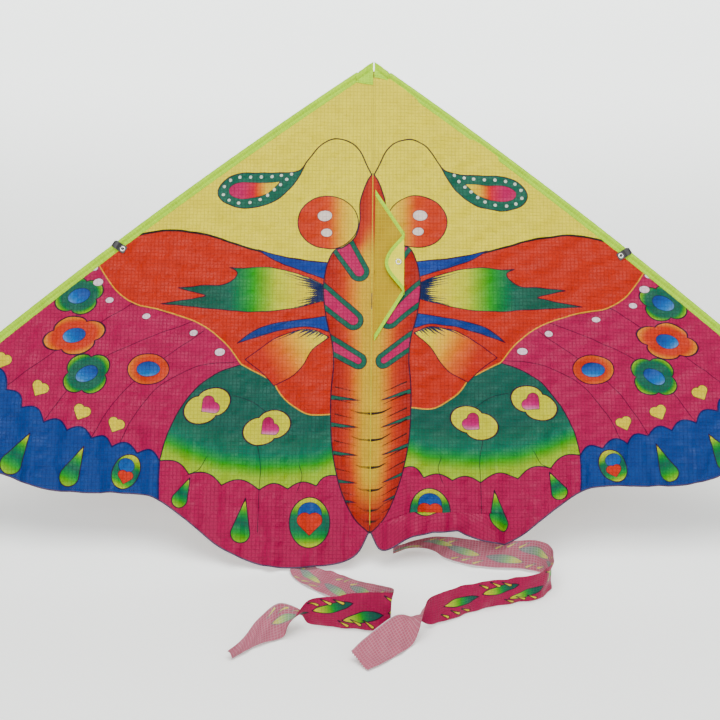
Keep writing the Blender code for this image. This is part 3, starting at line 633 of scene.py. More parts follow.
def motif_shapes(p):
    """Rings, eyes, flowers, drops and ovals, and in front of them what each holds."""
    x = p[:, 0] * 1000
    low, top = [], []
    ring = area(p, joined([(99, 555), (112, 541), (150, 537), (189, 536), (214, 530), (229, 514),
                           (230, 499), (217, 487), (193, 481), (165, 485), (136, 500), (114, 526),
                           (99, 555)]))
    low.append((ring, GREEN))
    core = area(p, joined([(138, 523), (166, 521), (197, 521), (213, 514), (213, 503), (199, 496),
                           (176, 498), (154, 507), (138, 523)]))
    top.append((core, ramp((x - 140) / 75, "#f2e21c", "#f0c22a", "#d23a48", PINK, PINK)))
    low.append((oval(p, (66, 461), 45, 41), ramp((x - 24) / 84, "#f2dc2c", "#f0b42a", "#d8481e",
                                                 "#cc3a1c", "#c8381c")))
    for centre, rx, ry in (((71, 471), 11, 8.5), ((68, 445), 8.5, 6.5)):
        top.append((oval(p, centre, rx, ry), "#f6e6dc"))
    dots = [(122, 536), (137, 533), (151, 531), (167, 530), (183, 530), (199, 529), (213, 525),
            (222, 515), (223, 502), (214, 493), (200, 489), (183, 490), (168, 495), (157, 502),
            (147, 510), (138, 518), (129, 527)]
    for dot in dots:
        top.append((oval(p, dot, 2.9, 2.9), "#d8f2dc"))
    flowers = (
        ((430, 343), 37, 29, -20, GREEN, LIME), ((434, 283), 46, 29, -12, "#d0402c", ORANGE),
        ((413, 226), 37, 31, -30, GREEN, LIME),
    )
    for centre, long, short, angle, inner, outer in flowers:
        low.append(flower(p, centre, long, short, angle, inner, outer))
        a, b = local(p, centre, angle)
        shine = ramp(0.5 + a * 26 - b * 14, "#10408e", "#1e5cae", "#7fa6d6")
        top.append((oval(p, centre, 17, 11, angle), shine))
    a, b = local(p, (324, 234))
    low.append((oval(p, (324, 234), 30, 23), ramp(np.hypot(a / 0.030, b / 0.024) * 0.7 + a * 4,
                                                  "#c83c2c", "#d2452a", ORANGE)))
    top.append((oval(p, (324, 234), 17, 11.5), ramp(0.4 - b * 45, "#10408e", "#1e5cae", "#86aad8")))
    for tip, size, angle in (((541, 233), 21, 24), ((486, 192), 21, 28), ((423, 158), 21, 24),
                             ((372, 140), 20, 22), ((600, 268), 21, 24)):
        top.append((heart(p, tip, size, angle), "#efd93a"))
    for tip, foot, radius in (((490, 138), (524, 80), 15.5), ((412, 120), (437, 62), 14),
                              ((575, 172), (600, 122), 13), ((258, 76), (277, 34), 11.5),
                              ((178, 48), (186, -16), 13.5)):
        field, t = drop(p, tip, foot, radius)
        low.append((field, ramp((t + 0.3) / 1.2, LIME, "#3f9d4a", GREEN, "#4da24a", "#e2dc3a")))
    for centre, angle in (((237, 181), -24), ((150, 150), -18)):
        low.append(flower(p, centre, 36, 27, angle, "#d6d42c", "#e2da34", 2, 0.34))
        a, b = local(p, centre)
        top.append((heart(p, (centre[0] + 8, centre[1] - 9), 24, 50),
                    ramp(0.5 + b * 36, "#f0c6d8", "#c23a74", "#a81a50")))
    pale = ((410, 386), (403, 364), (385, 337), (330, 313), (260, 289), (221, 261))
    for k, centre in enumerate(pale):
        size = 1.25 if k in (1, 5) else 1.0
        top.append((oval(p, centre, 6.2 * size, 4.6 * size, -8), PALE))
    for centre, rx, ry, angle, inner in (((86, 14), 29, 36, 0, 1.0), ((350, 84), 19, 26, 24, 0.66)):
        a, b = local(p, centre, angle)
        t = 0.5 + b / (ry / 500)
        shade = ramp(t, "#e6dc34", "#3f9d4a", "#05694e", "#05694e", "#8fb63a", "#e8d83a")
        low.append((oval(p, centre, rx, ry, angle), shade))
        blue = (centre[0], centre[1] + 13 * inner)
        top.append((oval(p, blue, 17 * inner, 16 * inner, angle),
                    ramp(0.5 + b * 22, "#6d9ad6", "#2463b4", "#0f4a96")))
    hearts = [heart(p, (86, -5), 30), heart(p, (354, 66), 18, 14)]
    return inked(low), inked(top), np.minimum.reduce(hearts)


FEELER = [(1, 535), (9, 551), (20, 574), (36, 588), (58, 592), (80, 581), (101, 552)]


def print_on(p):
    """Every field and fill of the print at the points p, as they are stored on the cloth."""
    hind, veins, blue, green, ribs, red, shoulder = ground_fields(p)
    leaves, leaf_fill = leaf_shapes(p)
    body, body_fill, body_green, bars, pink = body_shapes(p)
    (motifs, motif_fill), (cores, core_fill), hearts = motif_shapes(p)
    closer = pink < cores
    core_fill = np.where(closer[:, None], srgb(PINK), core_fill)
    feeler = near_line(p, smooth_curve(FEELER) / 1000)
    x, v = p.T * 1000
    floor = np.interp(x, [c[0] for c in GREEN_CUSPS[::-1]], [c[1] for c in GREEN_CUSPS[::-1]])
    green_fill = ramp((v - floor) / 84, "#a8c832", "#9cc434", "#3d9a44", "#077055", "#04614b",
                      "#04594a")
    fields = {
        "print_ground": np.stack([hind, veins, blue], axis=-1),
        "print_wing": np.stack([green, ribs, red], axis=-1),
        "print_leaf": np.stack([shoulder, leaves, hair_field(p, leaves)], axis=-1),
        "print_body": np.stack([body, body_green, bars], axis=-1),
        "print_motif": np.stack([motifs, np.minimum(cores, pink), hearts], axis=-1),
        "print_line": np.stack([feeler, feeler, feeler], axis=-1),
    }
    fills = {"fill_green": green_fill, "fill_leaf": leaf_fill, "fill_body": body_fill,
             "fill_motif": motif_fill, "fill_core": core_fill}
    return fields, fills


# ---- materials -------------------------------------------------------------------------


def add_node(tree, kind, values=None, links=None, **settings):
    made = tree.nodes.new("ShaderNode" + kind)
    for key, value in settings.items():
        setattr(made, key, value)
    for socket, value in (values or {}).items():
        made.inputs[socket].default_value = value
    for socket, source in (links or {}).items():
        tree.links.new(source, made.inputs[socket])
    return made


def new_material(name, **values):
    """A Principled material with constant values on its sockets."""
    material = bpy.data.materials.new(name)
    material.use_nodes = True
    tree = material.node_tree
    shader = tree.nodes["Principled BSDF"]
    for socket, value in values.items():
        shader.inputs[socket.replace("_", " ")].default_value = value
    return material, tree, shader


def mixed(tree, below, above, factor):
    """below where the factor is 0 and above where it is 1. Either may be a colour."""
    values, links = {}, {}
    for socket, source in ((0, factor), (6, below), (7, above)):
        if isinstance(source, bpy.types.NodeSocket):
            links[socket] = source
        else:
            values[socket] = source if socket == 0 else rgba(source)
    return add_node(tree, "Mix", values, links, data_type="RGBA").outputs[2]


def ink_step(tree, field, edge, soft=0.00025):
    """1 where the field is below the edge and 0 above it, over a soft quarter millimetre."""
    values = {1: edge + soft, 2: edge - soft, 3: 0.0, 4: 1.0}
    return add_node(tree, "MapRange", values, {0: field}).outputs[0]


def shape_layer(tree, below, field, fill, line, width):
    """A printed shape: its outline, centred on the field's zero, and then its fill."""
    outlined = mixed(tree, below, line, ink_step(tree, field, width / 2))
    return mixed(tree, outlined, fill, ink_step(tree, field, -width / 2))


def line_layer(tree, below, field, line, width):
    size = add_node(tree, "Math", links={0: field}, operation="ABSOLUTE").outputs[0]
    return mixed(tree, below, line, ink_step(tree, size, width / 2))


def cloth_grid(tree, pitch, thickness):
    """Ripstop: heavier threads in both directions every pitch metres, from the piece's own
    cloth coordinates."""
    uv = add_node(tree, "UVMap", uv_map="cloth").outputs[0]
    axes = add_node(tree, "SeparateXYZ", links={0: uv}).outputs
    threads = []
    for axis in (0, 1):
        run = add_node(tree, "Math", {1: 1 / pitch}, {0: axes[axis]}, operation="MULTIPLY")
        part = add_node(tree, "Math", links={0: run.outputs[0]}, operation="FRACT")
        centre = add_node(tree, "Math", {1: 0.5}, {0: part.outputs[0]}, operation="SUBTRACT")
        size = add_node(tree, "Math", links={0: centre.outputs[0]}, operation="ABSOLUTE")
        edge = thickness / pitch
        threads.append(add_node(tree, "MapRange", {1: edge * 2, 2: edge * 0.4, 3: 0, 4: 1},
                                {0: size.outputs[0]}).outputs[0])
    return add_node(tree, "Math", links={0: threads[0], 1: threads[1]}, operation="MAXIMUM").outputs[0]


def soft_wrinkles(tree, scale, detail=3.0):
    place = add_node(tree, "TexCoord").outputs["Object"]
    return add_node(tree, "TexNoise", {"Scale": scale, "Detail": detail, "Roughness": 0.55},
                    {"Vector": place}).outputs["Fac"]


def ripstop_finish(tree, shader, colour, fade, thread="#2a0c14", show=0.22, pitch=0.0055,
                   depth=0.62):
    """Puts a print on ripstop cloth: dye mottle, raised threads, fine wrinkles in the bump and
    a gloss that changes a little over the surface. fade is how pale the reverse is, and depth
    is how much light the dye gives back."""
    mottle = soft_wrinkles(tree, 60)
    spread = add_node(tree, "MapRange", {1: 0.35, 2: 0.65, 3: 0.0, 4: 0.12}, {0: mottle}).outputs[0]
    colour = mixed(tree, colour, "#3a0a14", spread)
    if fade:
        colour = mixed(tree, colour, "#e9dadb", fade)
    colour = add_node(tree, "HueSaturation", {"Saturation": 1.18, "Value": depth},
                      {"Color": colour}).outputs[0]
    grid = cloth_grid(tree, pitch, 0.00035)
    lit = add_node(tree, "Math", {1: show}, {0: grid}, operation="MULTIPLY").outputs[0]
    tree.links.new(mixed(tree, colour, thread, lit), shader.inputs["Base Color"])
    broad = soft_wrinkles(tree, 26, 4)
    height = add_node(tree, "Math", {1: 6.0}, {0: broad}, operation="MULTIPLY")
    both = add_node(tree, "Math", {}, {0: height.outputs[0], 1: grid}, operation="ADD")
    bump = add_node(tree, "Bump", {"Strength": 0.6, "Distance": 0.0007},
                    {"Height": both.outputs[0]})
    tree.links.new(bump.outputs[0], shader.inputs["Normal"])
    gloss = add_node(tree, "MapRange", {1: 0.3, 2: 0.7, 3: 0.34, 4: 0.50}, {0: broad})
    tree.links.new(gloss.outputs[0], shader.inputs["Roughness"])


def printed_ripstop(name, fade=0.0):
    """Calendered polyester ripstop with a dye print: a thin, slightly glossy cloth. fade makes
    its reverse, where the dye shows through paler."""
    material, tree, shader = new_material(name, Specular_IOR_Level=0.12)
    fields = {}
    for label in ("ground", "wing", "leaf", "body", "motif", "line"):
        stored = add_node(tree, "Attribute", attribute_name="print_" + label)
        fields[label] = add_node(tree, "SeparateXYZ", links={0: stored.outputs["Vector"]}).outputs
    fills = {
        label: add_node(tree, "Attribute", attribute_name="fill_" + label).outputs["Color"]
        for label in ("green", "leaf", "body", "motif", "core")
    }
    colour = mixed(tree, YELLOW, MAGENTA, ink_step(tree, fields["ground"][0], 0))
    colour = line_layer(tree, colour, fields["ground"][1], "#4a0a30", 0.0010)
    colour = line_layer(tree, colour, fields["line"][0], INK, 0.0021)
    colour = shape_layer(tree, colour, fields["ground"][2], BLUE, NAVY, 0.0022)
    colour = shape_layer(tree, colour, fields["wing"][0], fills["green"], INK, 0.0016)
    colour = line_layer(tree, colour, fields["wing"][1], "#16182a", 0.0009)
    colour = shape_layer(tree, colour, fields["wing"][2], RED, "#f0b14c", 0.0018)
    colour = line_layer(tree, colour, fields["leaf"][0], BLACK, 0.0032)
    colour = shape_layer(tree, colour, fields["leaf"][1], fills["leaf"], INK, 0.0013)
    colour = line_layer(tree, colour, fields["leaf"][2], "#0e2450", 0.0020)
    colour = shape_layer(tree, colour, fields["body"][0], fills["body"], INK, 0.0018)
    colour = shape_layer(tree, colour, fields["body"][1], GREEN, INK, 0.0010)
    colour = mixed(tree, colour, BLACK, ink_step(tree, fields["body"][2], 0))
    colour = shape_layer(tree, colour, fields["motif"][0], fills["motif"], INK, 0.0015)
    colour = shape_layer(tree, colour, fields["motif"][1], fills["core"], INK, 0.0007)
    colour = shape_layer(tree, colour, fields["motif"][2], "#d8493c", INK, 0.0007)
    ripstop_finish(tree, shader, colour, fade)
    return material


def printed_ribbon(name, fade=0.0):
    """The same cloth cut across the print into ribbon, in its own cloth coordinates."""
    material, tree, shader = new_material(name, Specular_IOR_Level=0.12)
    stored = add_node(tree, "Attribute", attribute_name="ribbon_print")
    fields = add_node(tree, "SeparateXYZ", links={0: stored.outputs["Vector"]}).outputs
    fill = add_node(tree, "Attribute", attribute_name="ribbon_fill").outputs["Color"]
    colour = shape_layer(tree, MAGENTA, fields[0], fill, INK, 0.0016)
    colour = shape_layer(tree, colour, fields[1], "#f0dc2c", INK, 0.0012)
    colour = mixed(tree, colour, "#f4eef2", ink_step(tree, fields[2], 0.0011))
    thread, show = ("#f6dde4", 0.16) if fade else ("#2a0c14", 0.16)
    ripstop_finish(tree, shader, colour, fade, thread, show, 0.0046)
    return material


def plain_cloth(name, colour, shadow, depth=0.6, **values):
    """Dyed cloth of one colour, with its ripstop threads and painted shade: a darker shadow copy of the
    colour mixed in by a slow noise.
    """
    material, tree, shader = new_material(name, Specular_IOR_Level=0.08, **values)
    # painted shade: the colour darkens towards its shadow copy in random patches of a slow noise, not
    # where the cloth really folds
    tone = soft_wrinkles(tree, 45)
    ripstop_finish(tree, shader, mixed(tree, colour, shadow, tone), 0.0, thread=colour, show=0.3,
                   depth=depth)
    return material


def speckled(name, colour, other, scale, roughness, **values):
    """A moulded or drawn material: two near tones in a fine speckle, which the bump shares."""
    material, tree, shader = new_material(name, Roughness=roughness, **values)
    grain = soft_wrinkles(tree, scale, 5)
    tree.links.new(mixed(tree, colour, other, grain), shader.inputs["Base Color"])
    bump = add_node(tree, "Bump", {"Strength": 0.15, "Distance": 0.0001}, {"Height": grain})
    tree.links.new(bump.outputs[0], shader.inputs["Normal"])
    return material


SAIL_FACE = printed_ripstop("printed_ripstop_face")
SAIL_REVERSE = printed_ripstop("printed_ripstop_reverse", fade=0.24)
RIBBON_FACE = printed_ribbon("printed_ribbon_face")
RIBBON_REVERSE = printed_ribbon("printed_ribbon_reverse", fade=0.24)
# Fluorescent polyester tape: its dye gives back more light than falls on it, so it glows a bit.
NEON = plain_cloth("fluorescent_tape", "#c4f500", "#a2e200", depth=0.62, Emission_Strength=0.06,
                   Emission_Color=rgba("#b4f000"))
# Unprinted ripstop, thin enough to show the print under it.
KEEL_CLOTH = plain_cloth("thin_yellow_ripstop", "#e2c22e", "#c99f20", Alpha=0.74)
# The same cloth where it lies double and bare of print: it looks brighter.
CORNER_CLOTH = plain_cloth("bright_yellow_ripstop", "#fbf32a", "#f0e41e", depth=0.72)
SLEEVE_CLOTH = plain_cloth("yellow_sleeve_ripstop", "#e9dc5a", "#d8c648")
HEM_EDGE = speckled("overlocked_hem", "#1c1440", "#3a0c34", 900, 0.6)
DARK_THREAD = speckled("bonded_thread", "#5a0f2e", "#3c0a22", 2000, 0.55)
GREEN_THREAD = speckled("green_thread", "#3f6a10", "#2c4f0a", 2000, 0.55)
# Pultruded glass fibre with a dark resin: streaky and rather glossy.
GLASS_FIBRE = speckled("pultruded_glass_fibre", "#1b1b1c", "#2e2f31", 400, 0.30, Coat_Weight=0.3)
BLACK_VINYL = speckled("black_vinyl", "#0c0c0d", "#1a1a1c", 700, 0.42)
CLEAR_VINYL = speckled("clear_vinyl_tube", "#c9ccc6", "#b2b6ae", 60, 0.18, Transmission_Weight=0.35)
# Nickel plate over brass, turned and rolled.
NICKEL = speckled("nickel_plate", "#d6d4cf", "#b7b4ad", 1200, 0.22, Metallic=1.0)

# ---- sails ------------------------------------------------------------------------------

SAIL_BANDS = {"inner": (0.0006, 0.165, 104, 440), "middle": (0.165, 0.370, 126, 360),
              "outer": (0.370, 0.6985, 190, 240)}


def sail_top(x):
    """The cloth ends inside the sleeve's two flanges, which follow the leading edge. Near the
    nose it ends at the point where the flanges of both halves meet."""
    slope = (NOSE_V - TIP_V) / HALF_SPAN
    inset = 0.0052 * np.sqrt(1 + slope**2)
    return np.minimum(edge_v(x) - inset, 0.704)


def sail_grid(low, high, cols, rows):
    """Columns at even x, each with its points spread evenly from the hem to the top."""
    x = np.linspace(low, high, cols)[None, :]
    t = np.linspace(0, 1, rows)[:, None]
    bottom, top = hem_v(x), sail_top(x)
    return np.broadcast_to(x, (rows, cols)), bottom + (top - bottom) * t


def sails():
    for band, (low, high, cols, rows) in SAIL_BANDS.items():
        x, v = sail_grid(low, high, cols, rows)
        flat = np.stack([x.ravel(), v.ravel()], axis=-1)
        fields, fills = print_on(flat)
        for side, sign in (("left", -1), ("right", 1)):
            middle = cloth_point(sign, x, v)
            uv = np.stack([sign * x, v], axis=-1)
            piece = thick_sheet(f"sail_{side}_{band}", middle, CLOTH, uv,
                                [SAIL_FACE, SAIL_REVERSE], sign < 0, fields=fields, fills=fills)
            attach(piece, side + "_wing")
            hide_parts("sail_" + side)


def hems():
    """The rear edge is rolled and overlocked: a flat oval bead along the hem, and a row of
    stitches a little way in."""
    turn = np.linspace(0, 2 * pi, 10, endpoint=False)
    bead = np.stack([0.0011 * np.cos(turn), 0.0006 * np.sin(turn)], axis=-1)
    x = np.linspace(0.0016, 0.696, 420)
    for side, sign in (("left", -1), ("right", 1)):
        path = cloth_point(sign, x, hem_v(x) + 0.0004)
        ahead = np.gradient(path, axis=0)
        ahead /= np.linalg.norm(ahead, axis=1, keepdims=True)
        inward = cloth_point(sign, x, hem_v(x) + 0.0024) - path
        out = np.cross(inward, ahead)
        out /= np.linalg.norm(out, axis=1, keepdims=True)
        across = np.cross(ahead, out)
        piece = swept_piece("hem_bead_" + side, path, across, out, bead, HEM_EDGE)
        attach(piece, side + "_wing")
        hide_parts("hem_" + side)
        row = cloth_point(sign, x, hem_v(x) + 0.0046, 0.0002)
        facing = in_frame(0.0, 0.0, 1.0)
        thread = stitch_row("hem_stitches_" + side, row, facing, DARK_THREAD, width=0.0004)
        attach(thread, side + "_wing")


# ---- leading edges ------------------------------------------------------------------------

SLEEVE_SECTION = smooth_curve([
    (0.0096, 0.00042), (0.0062, 0.00050), (0.0046, 0.0010), (0.0032, 0.0024), (0.0016, 0.0035),
    (0.0, 0.0038), (-0.0019, 0.0033), (-0.0033, 0.0020), (-0.0040, 0.0),
], 3)


def edge_frame(sign, x):
    """Points along the leading edge with unit vectors towards the cloth and out of its face."""
    a, b = edge_inward(x)
    path = in_frame(sign * x, edge_v(x), SAIL_N)
    across = in_frame(sign * a, b, 0.0)
    out = np.broadcast_to(in_frame(0.0, 0.0, 1.0), across.shape)
    return path, across, out


def sleeves():
    """Neon tape folded round each rod and sewn to the cloth: a round front, two flanges and
    the slack ripples of cloth pushed along a rod."""
    half = SLEEVE_SECTION
    section = np.concatenate([half, (half * (1, -1))[-2::-1]])
    x = np.linspace(*SLEEVE_ENDS, 380)
    ripple = 1 + 0.018 * np.sin(410 * x) * np.sin(77 * x + 1) + 0.012 * np.sin(951 * x)
    near_clip = 1 - 0.03 * np.exp(-(((x - CLIP_U) / 0.012) ** 2))
    loops = section[None] * (ripple * near_clip)[:, None, None]
    for side, sign in (("left", -1), ("right", 1)):
        path, across, out = edge_frame(sign, x)
        piece = swept_piece("edge_sleeve_" + side, path, across, out, loops, NEON)
        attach(piece, side + "_wing")
        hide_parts("leading_edge_sleeve_" + side)
        row = path + across * 0.0078 + out * 0.00052
        thread = stitch_row("edge_stitches_" + side, row, out[0], GREEN_THREAD, width=0.0004)
        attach(thread, side + "_wing")


def rivets():
    """Hollow rivets: both ends rolled over into a rounded lip."""
    section = [(0.0019, -0.0018), (0.0030, -0.0021), (0.0041, -0.00175), (0.0041, -0.0015),
               (0.0026, -0.0013), (0.0026, 0.0013), (0.0041, 0.0015), (0.0041, 0.00175),
               (0.0030, 0.0021), (0.0019, 0.0018)]
    for side, sign in (("left", -1), ("right", 1)):
        centre = in_frame(sign * RIVET[0], RIVET[1], SAIL_N)
        piece = ring_piece("rolled_rivet_" + side, centre, in_frame(0.0, 0.0, 1.0), section, NICKEL)
        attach(piece, side + "_wing")
        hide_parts("clip_rivet_" + side)


def clip_straps():
    """A vinyl strap doubled round the sleeve: its front leaf rises over the sleeve, turns back
    outside it and returns behind. It leans from square to the edge towards the wing tip."""
    turn = np.linspace(pi / 2, -pi / 2, 13)
    bend = np.stack([0.0128 + 0.0040 * np.cos(turn), 0.0043 * np.sin(turn)], axis=-1)
    front = smooth_curve([(-0.0052, 0.0011), (0.0, 0.0012), (0.0048, 0.0022), (0.0085, 0.0043),
                          (0.0128, 0.0043)], 6)
    path = np.concatenate([front, bend[1:-1], (front * (1, -1))[::-1]])
    for side, sign in (("left", -1), ("right", 1)):
        a, b = edge_inward(RIVET[0])
        lean = radians(20)
        way = np.array([-a * cos(lean) - b * sin(lean), -b * cos(lean) + a * sin(lean)])
        over = np.array([way[1], -way[0]])
        t = np.linspace(-1, 1, 15)[None, :]
        round_end = np.where(np.abs(t) > 0.8, 0.9, 1.0)
        s = path[:, :1] * round_end
        n = np.broadcast_to(path[:, 1:], s.shape)
        u = RIVET[0] + way[0] * s + over[0] * 0.0058 * t
        v = RIVET[1] + way[1] * s + over[1] * 0.0058 * t
        along = np.broadcast_to(np.arange(len(path))[:, None] * 0.001, s.shape)
        uv = np.stack([along, np.broadcast_to(t, s.shape) * 0.006], axis=-1)
        piece = thick_sheet("clip_strap_" + side, in_frame(sign * u, v, SAIL_N + n), 0.0007, uv,
                            [BLACK_VINYL], sign > 0)
        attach(piece, side + "_wing")
        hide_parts("clip_tab_" + side)


def nose_patches():
    """Neon tape folded over the nose corner of each half: a curved flap in front of the sleeve
    with a double lower edge."""
    for side, sign in (("left", -1), ("right", 1)):
        s, t = np.meshgrid(np.linspace(0, 1, 26), np.linspace(0, 1, 22))
        reach = 0.027 if sign < 0 else 0.0228
        depth = 0.034 if sign < 0 else 0.022
        x = 0.0010 + (reach - 0.0010) * s
        top = edge_v(x) + 0.004 - 0.004 * s
        bottom = NOSE_V - depth + (edge_v(reach) - 0.011 - NOSE_V + depth) * s**1.4
        v = bottom + (top - bottom) * t
        off_rod = (v - edge_v(x)) * 0.77
        over_rod = np.sqrt(np.clip(1 - (off_rod / 0.0062) ** 2, 0, 1))
        rise = 0.0044 * over_rod + 0.0004 * np.sin(160 * x + 90 * v)
        n = SAIL_N + 0.0006 + rise * ease(x / 0.012)
        points = in_frame(sign * x, v, n)
        uv = np.stack([sign * x, v], axis=-1)
        piece = thick_sheet("nose_fold_" + side, points, 0.0005, uv, [NEON], sign < 0)
        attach(piece, side + "_wing")
        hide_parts("nose_patch_" + side)
        row = in_frame(sign * x[0], v[0] + 0.003, n[0] + 0.0004)
        thread = stitch_row("nose_stitches_" + side, row, in_frame(0.0, 0.0, 1.0), GREEN_THREAD)
        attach(thread, side + "_wing")


# ---- spine --------------------------------------------------------------------------------


def spine_channels():
    """The spine lies in a cloth channel behind the seam: a tube that opens into two flanges,
    each sewn down with a row of stitches."""
    half = smooth_curve([(0.0105, 0.0042), (0.0060, 0.0041), (0.0042, 0.0034), (0.0038, 0.0012),
                         (0.0034, -0.0015), (0.0019, -0.0032), (0.0, -0.0037)], 4)
    outer = np.concatenate([half, (half * (-1, 1))[-2::-1]])
    inner = np.concatenate([[(-0.0105, 0.0045)], [(0.0105, 0.0045)]])
    section = np.concatenate([outer, inner])
    for name in ("spine_sleeve_upper", "spine_sleeve_lower"):
        low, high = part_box(name)
        start, end = (low.z / cos(LEAN) + 0.002, high.z / cos(LEAN) - 0.002)
        v = np.linspace(start, end, 90)
        path = in_frame(0.0, v, 0.0)
        across = np.broadcast_to(in_frame(1.0, 0.0, 0.0), path.shape)
        out = np.broadcast_to(in_frame(0.0, 0.0, 1.0), path.shape)
        loops = section[None] * (1 + 0.012 * np.sin(230 * v))[:, None, None]
        piece = swept_piece("cloth_" + name, path, across, out, loops, SLEEVE_CLOTH)
        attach(piece, "spine")
        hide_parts(name)
        for side, sign in (("left", -1), ("right", 1)):
            row = in_frame(sign * 0.0082, v, 0.0038)
            back = in_frame(0.0, 0.0, -1.0)
            thread = stitch_row(f"{name}_stitches_{side}", row, back, GREEN_THREAD)
            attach(thread, "spine")


def joiners():
    """Soft vinyl tubes from the hub to each spreader half, built straight and fixed in place."""
    turn = np.linspace(0, 2 * pi, 24, endpoint=False)
    circle = np.stack([np.cos(turn), np.sin(turn)], axis=-1)
    size = np.hypot(1, SPREADER_RISE)
    for side, sign in (("left", -1), ("right", 1)):
        s = np.linspace(0.0060, 0.0420, 46)
        path = in_frame(sign * s / size, HUB_V + SPREADER_RISE * s / size, 0.0)
        across = np.broadcast_to(in_frame(-sign * SPREADER_RISE / size, 1 / size, 0.0), path.shape)
        out = np.broadcast_to(in_frame(0.0, 0.0, 1.0), path.shape)
        end = np.clip(np.minimum(s - 0.0060, 0.0420 - s) / 0.0008, 0, 1)
        radius = 0.0031 + 0.0003 * np.sqrt(end)
        loops = circle[None] * radius[:, None, None]
        piece = swept_piece("soft_joiner_" + side, path, across, out, loops, CLEAR_VINYL)
        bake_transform(piece)
        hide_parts("spreader_joiner_" + side)


def tail_tape():
    """The tape that holds both tails behind the foot: folded over and sewn round its edge."""
    low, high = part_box("tail_tab")
    s, t = np.meshgrid(np.linspace(low.x, high.x, 50), np.linspace(0, 1, 18))
    v = 0.0145 + 0.0175 * t
    n = -0.00435 + 0.0006 * np.sin(170 * s) * t - 0.0005 * np.sin(pi * t)
    uv = np.stack([s, v], axis=-1)
    piece = thick_sheet("tail_tape", in_frame(s, v, n), 0.0008, uv, [NEON])
    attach(piece, "spine")
    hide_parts("tail_tab")
    for name, row in (("low", 2), ("high", 15)):
        path = in_frame(s[row], v[row], n[row] - 0.0005)
        thread = stitch_row("tail_tape_stitches_" + name, path, in_frame(0.0, 0.0, -1.0), GREEN_THREAD)
        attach(thread, "spine")


# ---- keel --------------------------------------------------------------------------------


def on_keel(p, v, h):
    """Keel coordinates to the frame: p from the seam along the keel, h off its plane."""
    u = p * cos(KEEL_TILT) - h * sin(KEEL_TILT)
    n = SAIL_N + KEEL_LIFT + p * sin(KEEL_TILT) + h * cos(KEEL_TILT)
    return in_frame(u, v, n)


def on_corner(q, v, h):
    """The loose corner: q from the crease back towards the seam, lifted by its own angle."""
    p = KEEL_CREASE - q * cos(CORNER_LIFT) - h * sin(CORNER_LIFT)
    return on_keel(p, v, CORNER_SEAT + q * sin(CORNER_LIFT) + h * cos(CORNER_LIFT))


def keel_sag(p, v):
    return 0.0006 * np.sin(pi * (v - KEEL_FOOT) / 0.232) * np.sin(pi * p / KEEL_CREASE)


def corner_edge(v):
    """The corner's free edge: a raised cosine over the crease, so it leaves and meets the
    crease in an S, with a blunt tip."""
    t = np.clip((v - CREASE_FOOT) / (CREASE_TOP - CREASE_FOOT), 0, 1)
    return CORNER_REACH * (0.5 - 0.5 * np.cos(2 * pi * t)) ** 0.75


def keel_pieces():
    edge = KEEL_CREASE - 0.0012
    tall = BINDING / 0.53  # the tape's width, measured up the spine
    inset = tall - 0.0004
    s, t = np.meshgrid(np.linspace(0, 1, 44), np.linspace(0, 1, 120))
    p = KEEL_ROOT + (edge - KEEL_ROOT) * s
    foot = KEEL_FOOT + (CREASE_FOOT - KEEL_FOOT) * s + inset
    top = KEEL_TOP + (CREASE_TOP - KEEL_TOP) * s - inset
    v = foot + (top - foot) * t
    uv = np.stack([p, v], axis=-1)
    panel = thick_sheet("keel_cloth_panel", on_keel(p, v, keel_sag(p, v)), CLOTH, uv, [KEEL_CLOTH])
    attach(panel, "keel")
    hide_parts("keel_panel")
    bindings = []
    facing = in_frame(sin(KEEL_TILT) * -1.0, 0.0, cos(KEEL_TILT))
    for name, start, end, way in (("top", KEEL_TOP, CREASE_TOP, -1), ("foot", KEEL_FOOT, CREASE_FOOT, 1)):
        s, t = np.meshgrid(np.linspace(0, 1, 70), np.linspace(0, 1, 9))
        p = KEEL_ROOT + (edge - KEEL_ROOT) * s
        v = start + (end - start) * s + way * tall * t
        bow = keel_sag(p, v) + 0.00025 * np.sin(300 * p + 2)
        uv = np.stack([p, v], axis=-1)
        piece = thick_sheet("keel_tape_" + name, on_keel(p, v, bow), 0.0010, uv, [NEON], way < 0)
        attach(piece, "keel")
        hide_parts("keel_binding_" + name)
        row = on_keel(p[6], v[6], bow[6] + 0.0006)
        thread = stitch_row("keel_stitches_" + name, row, facing, GREEN_THREAD, width=0.0004)
        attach(thread, "keel")
        bindings += [piece, thread]


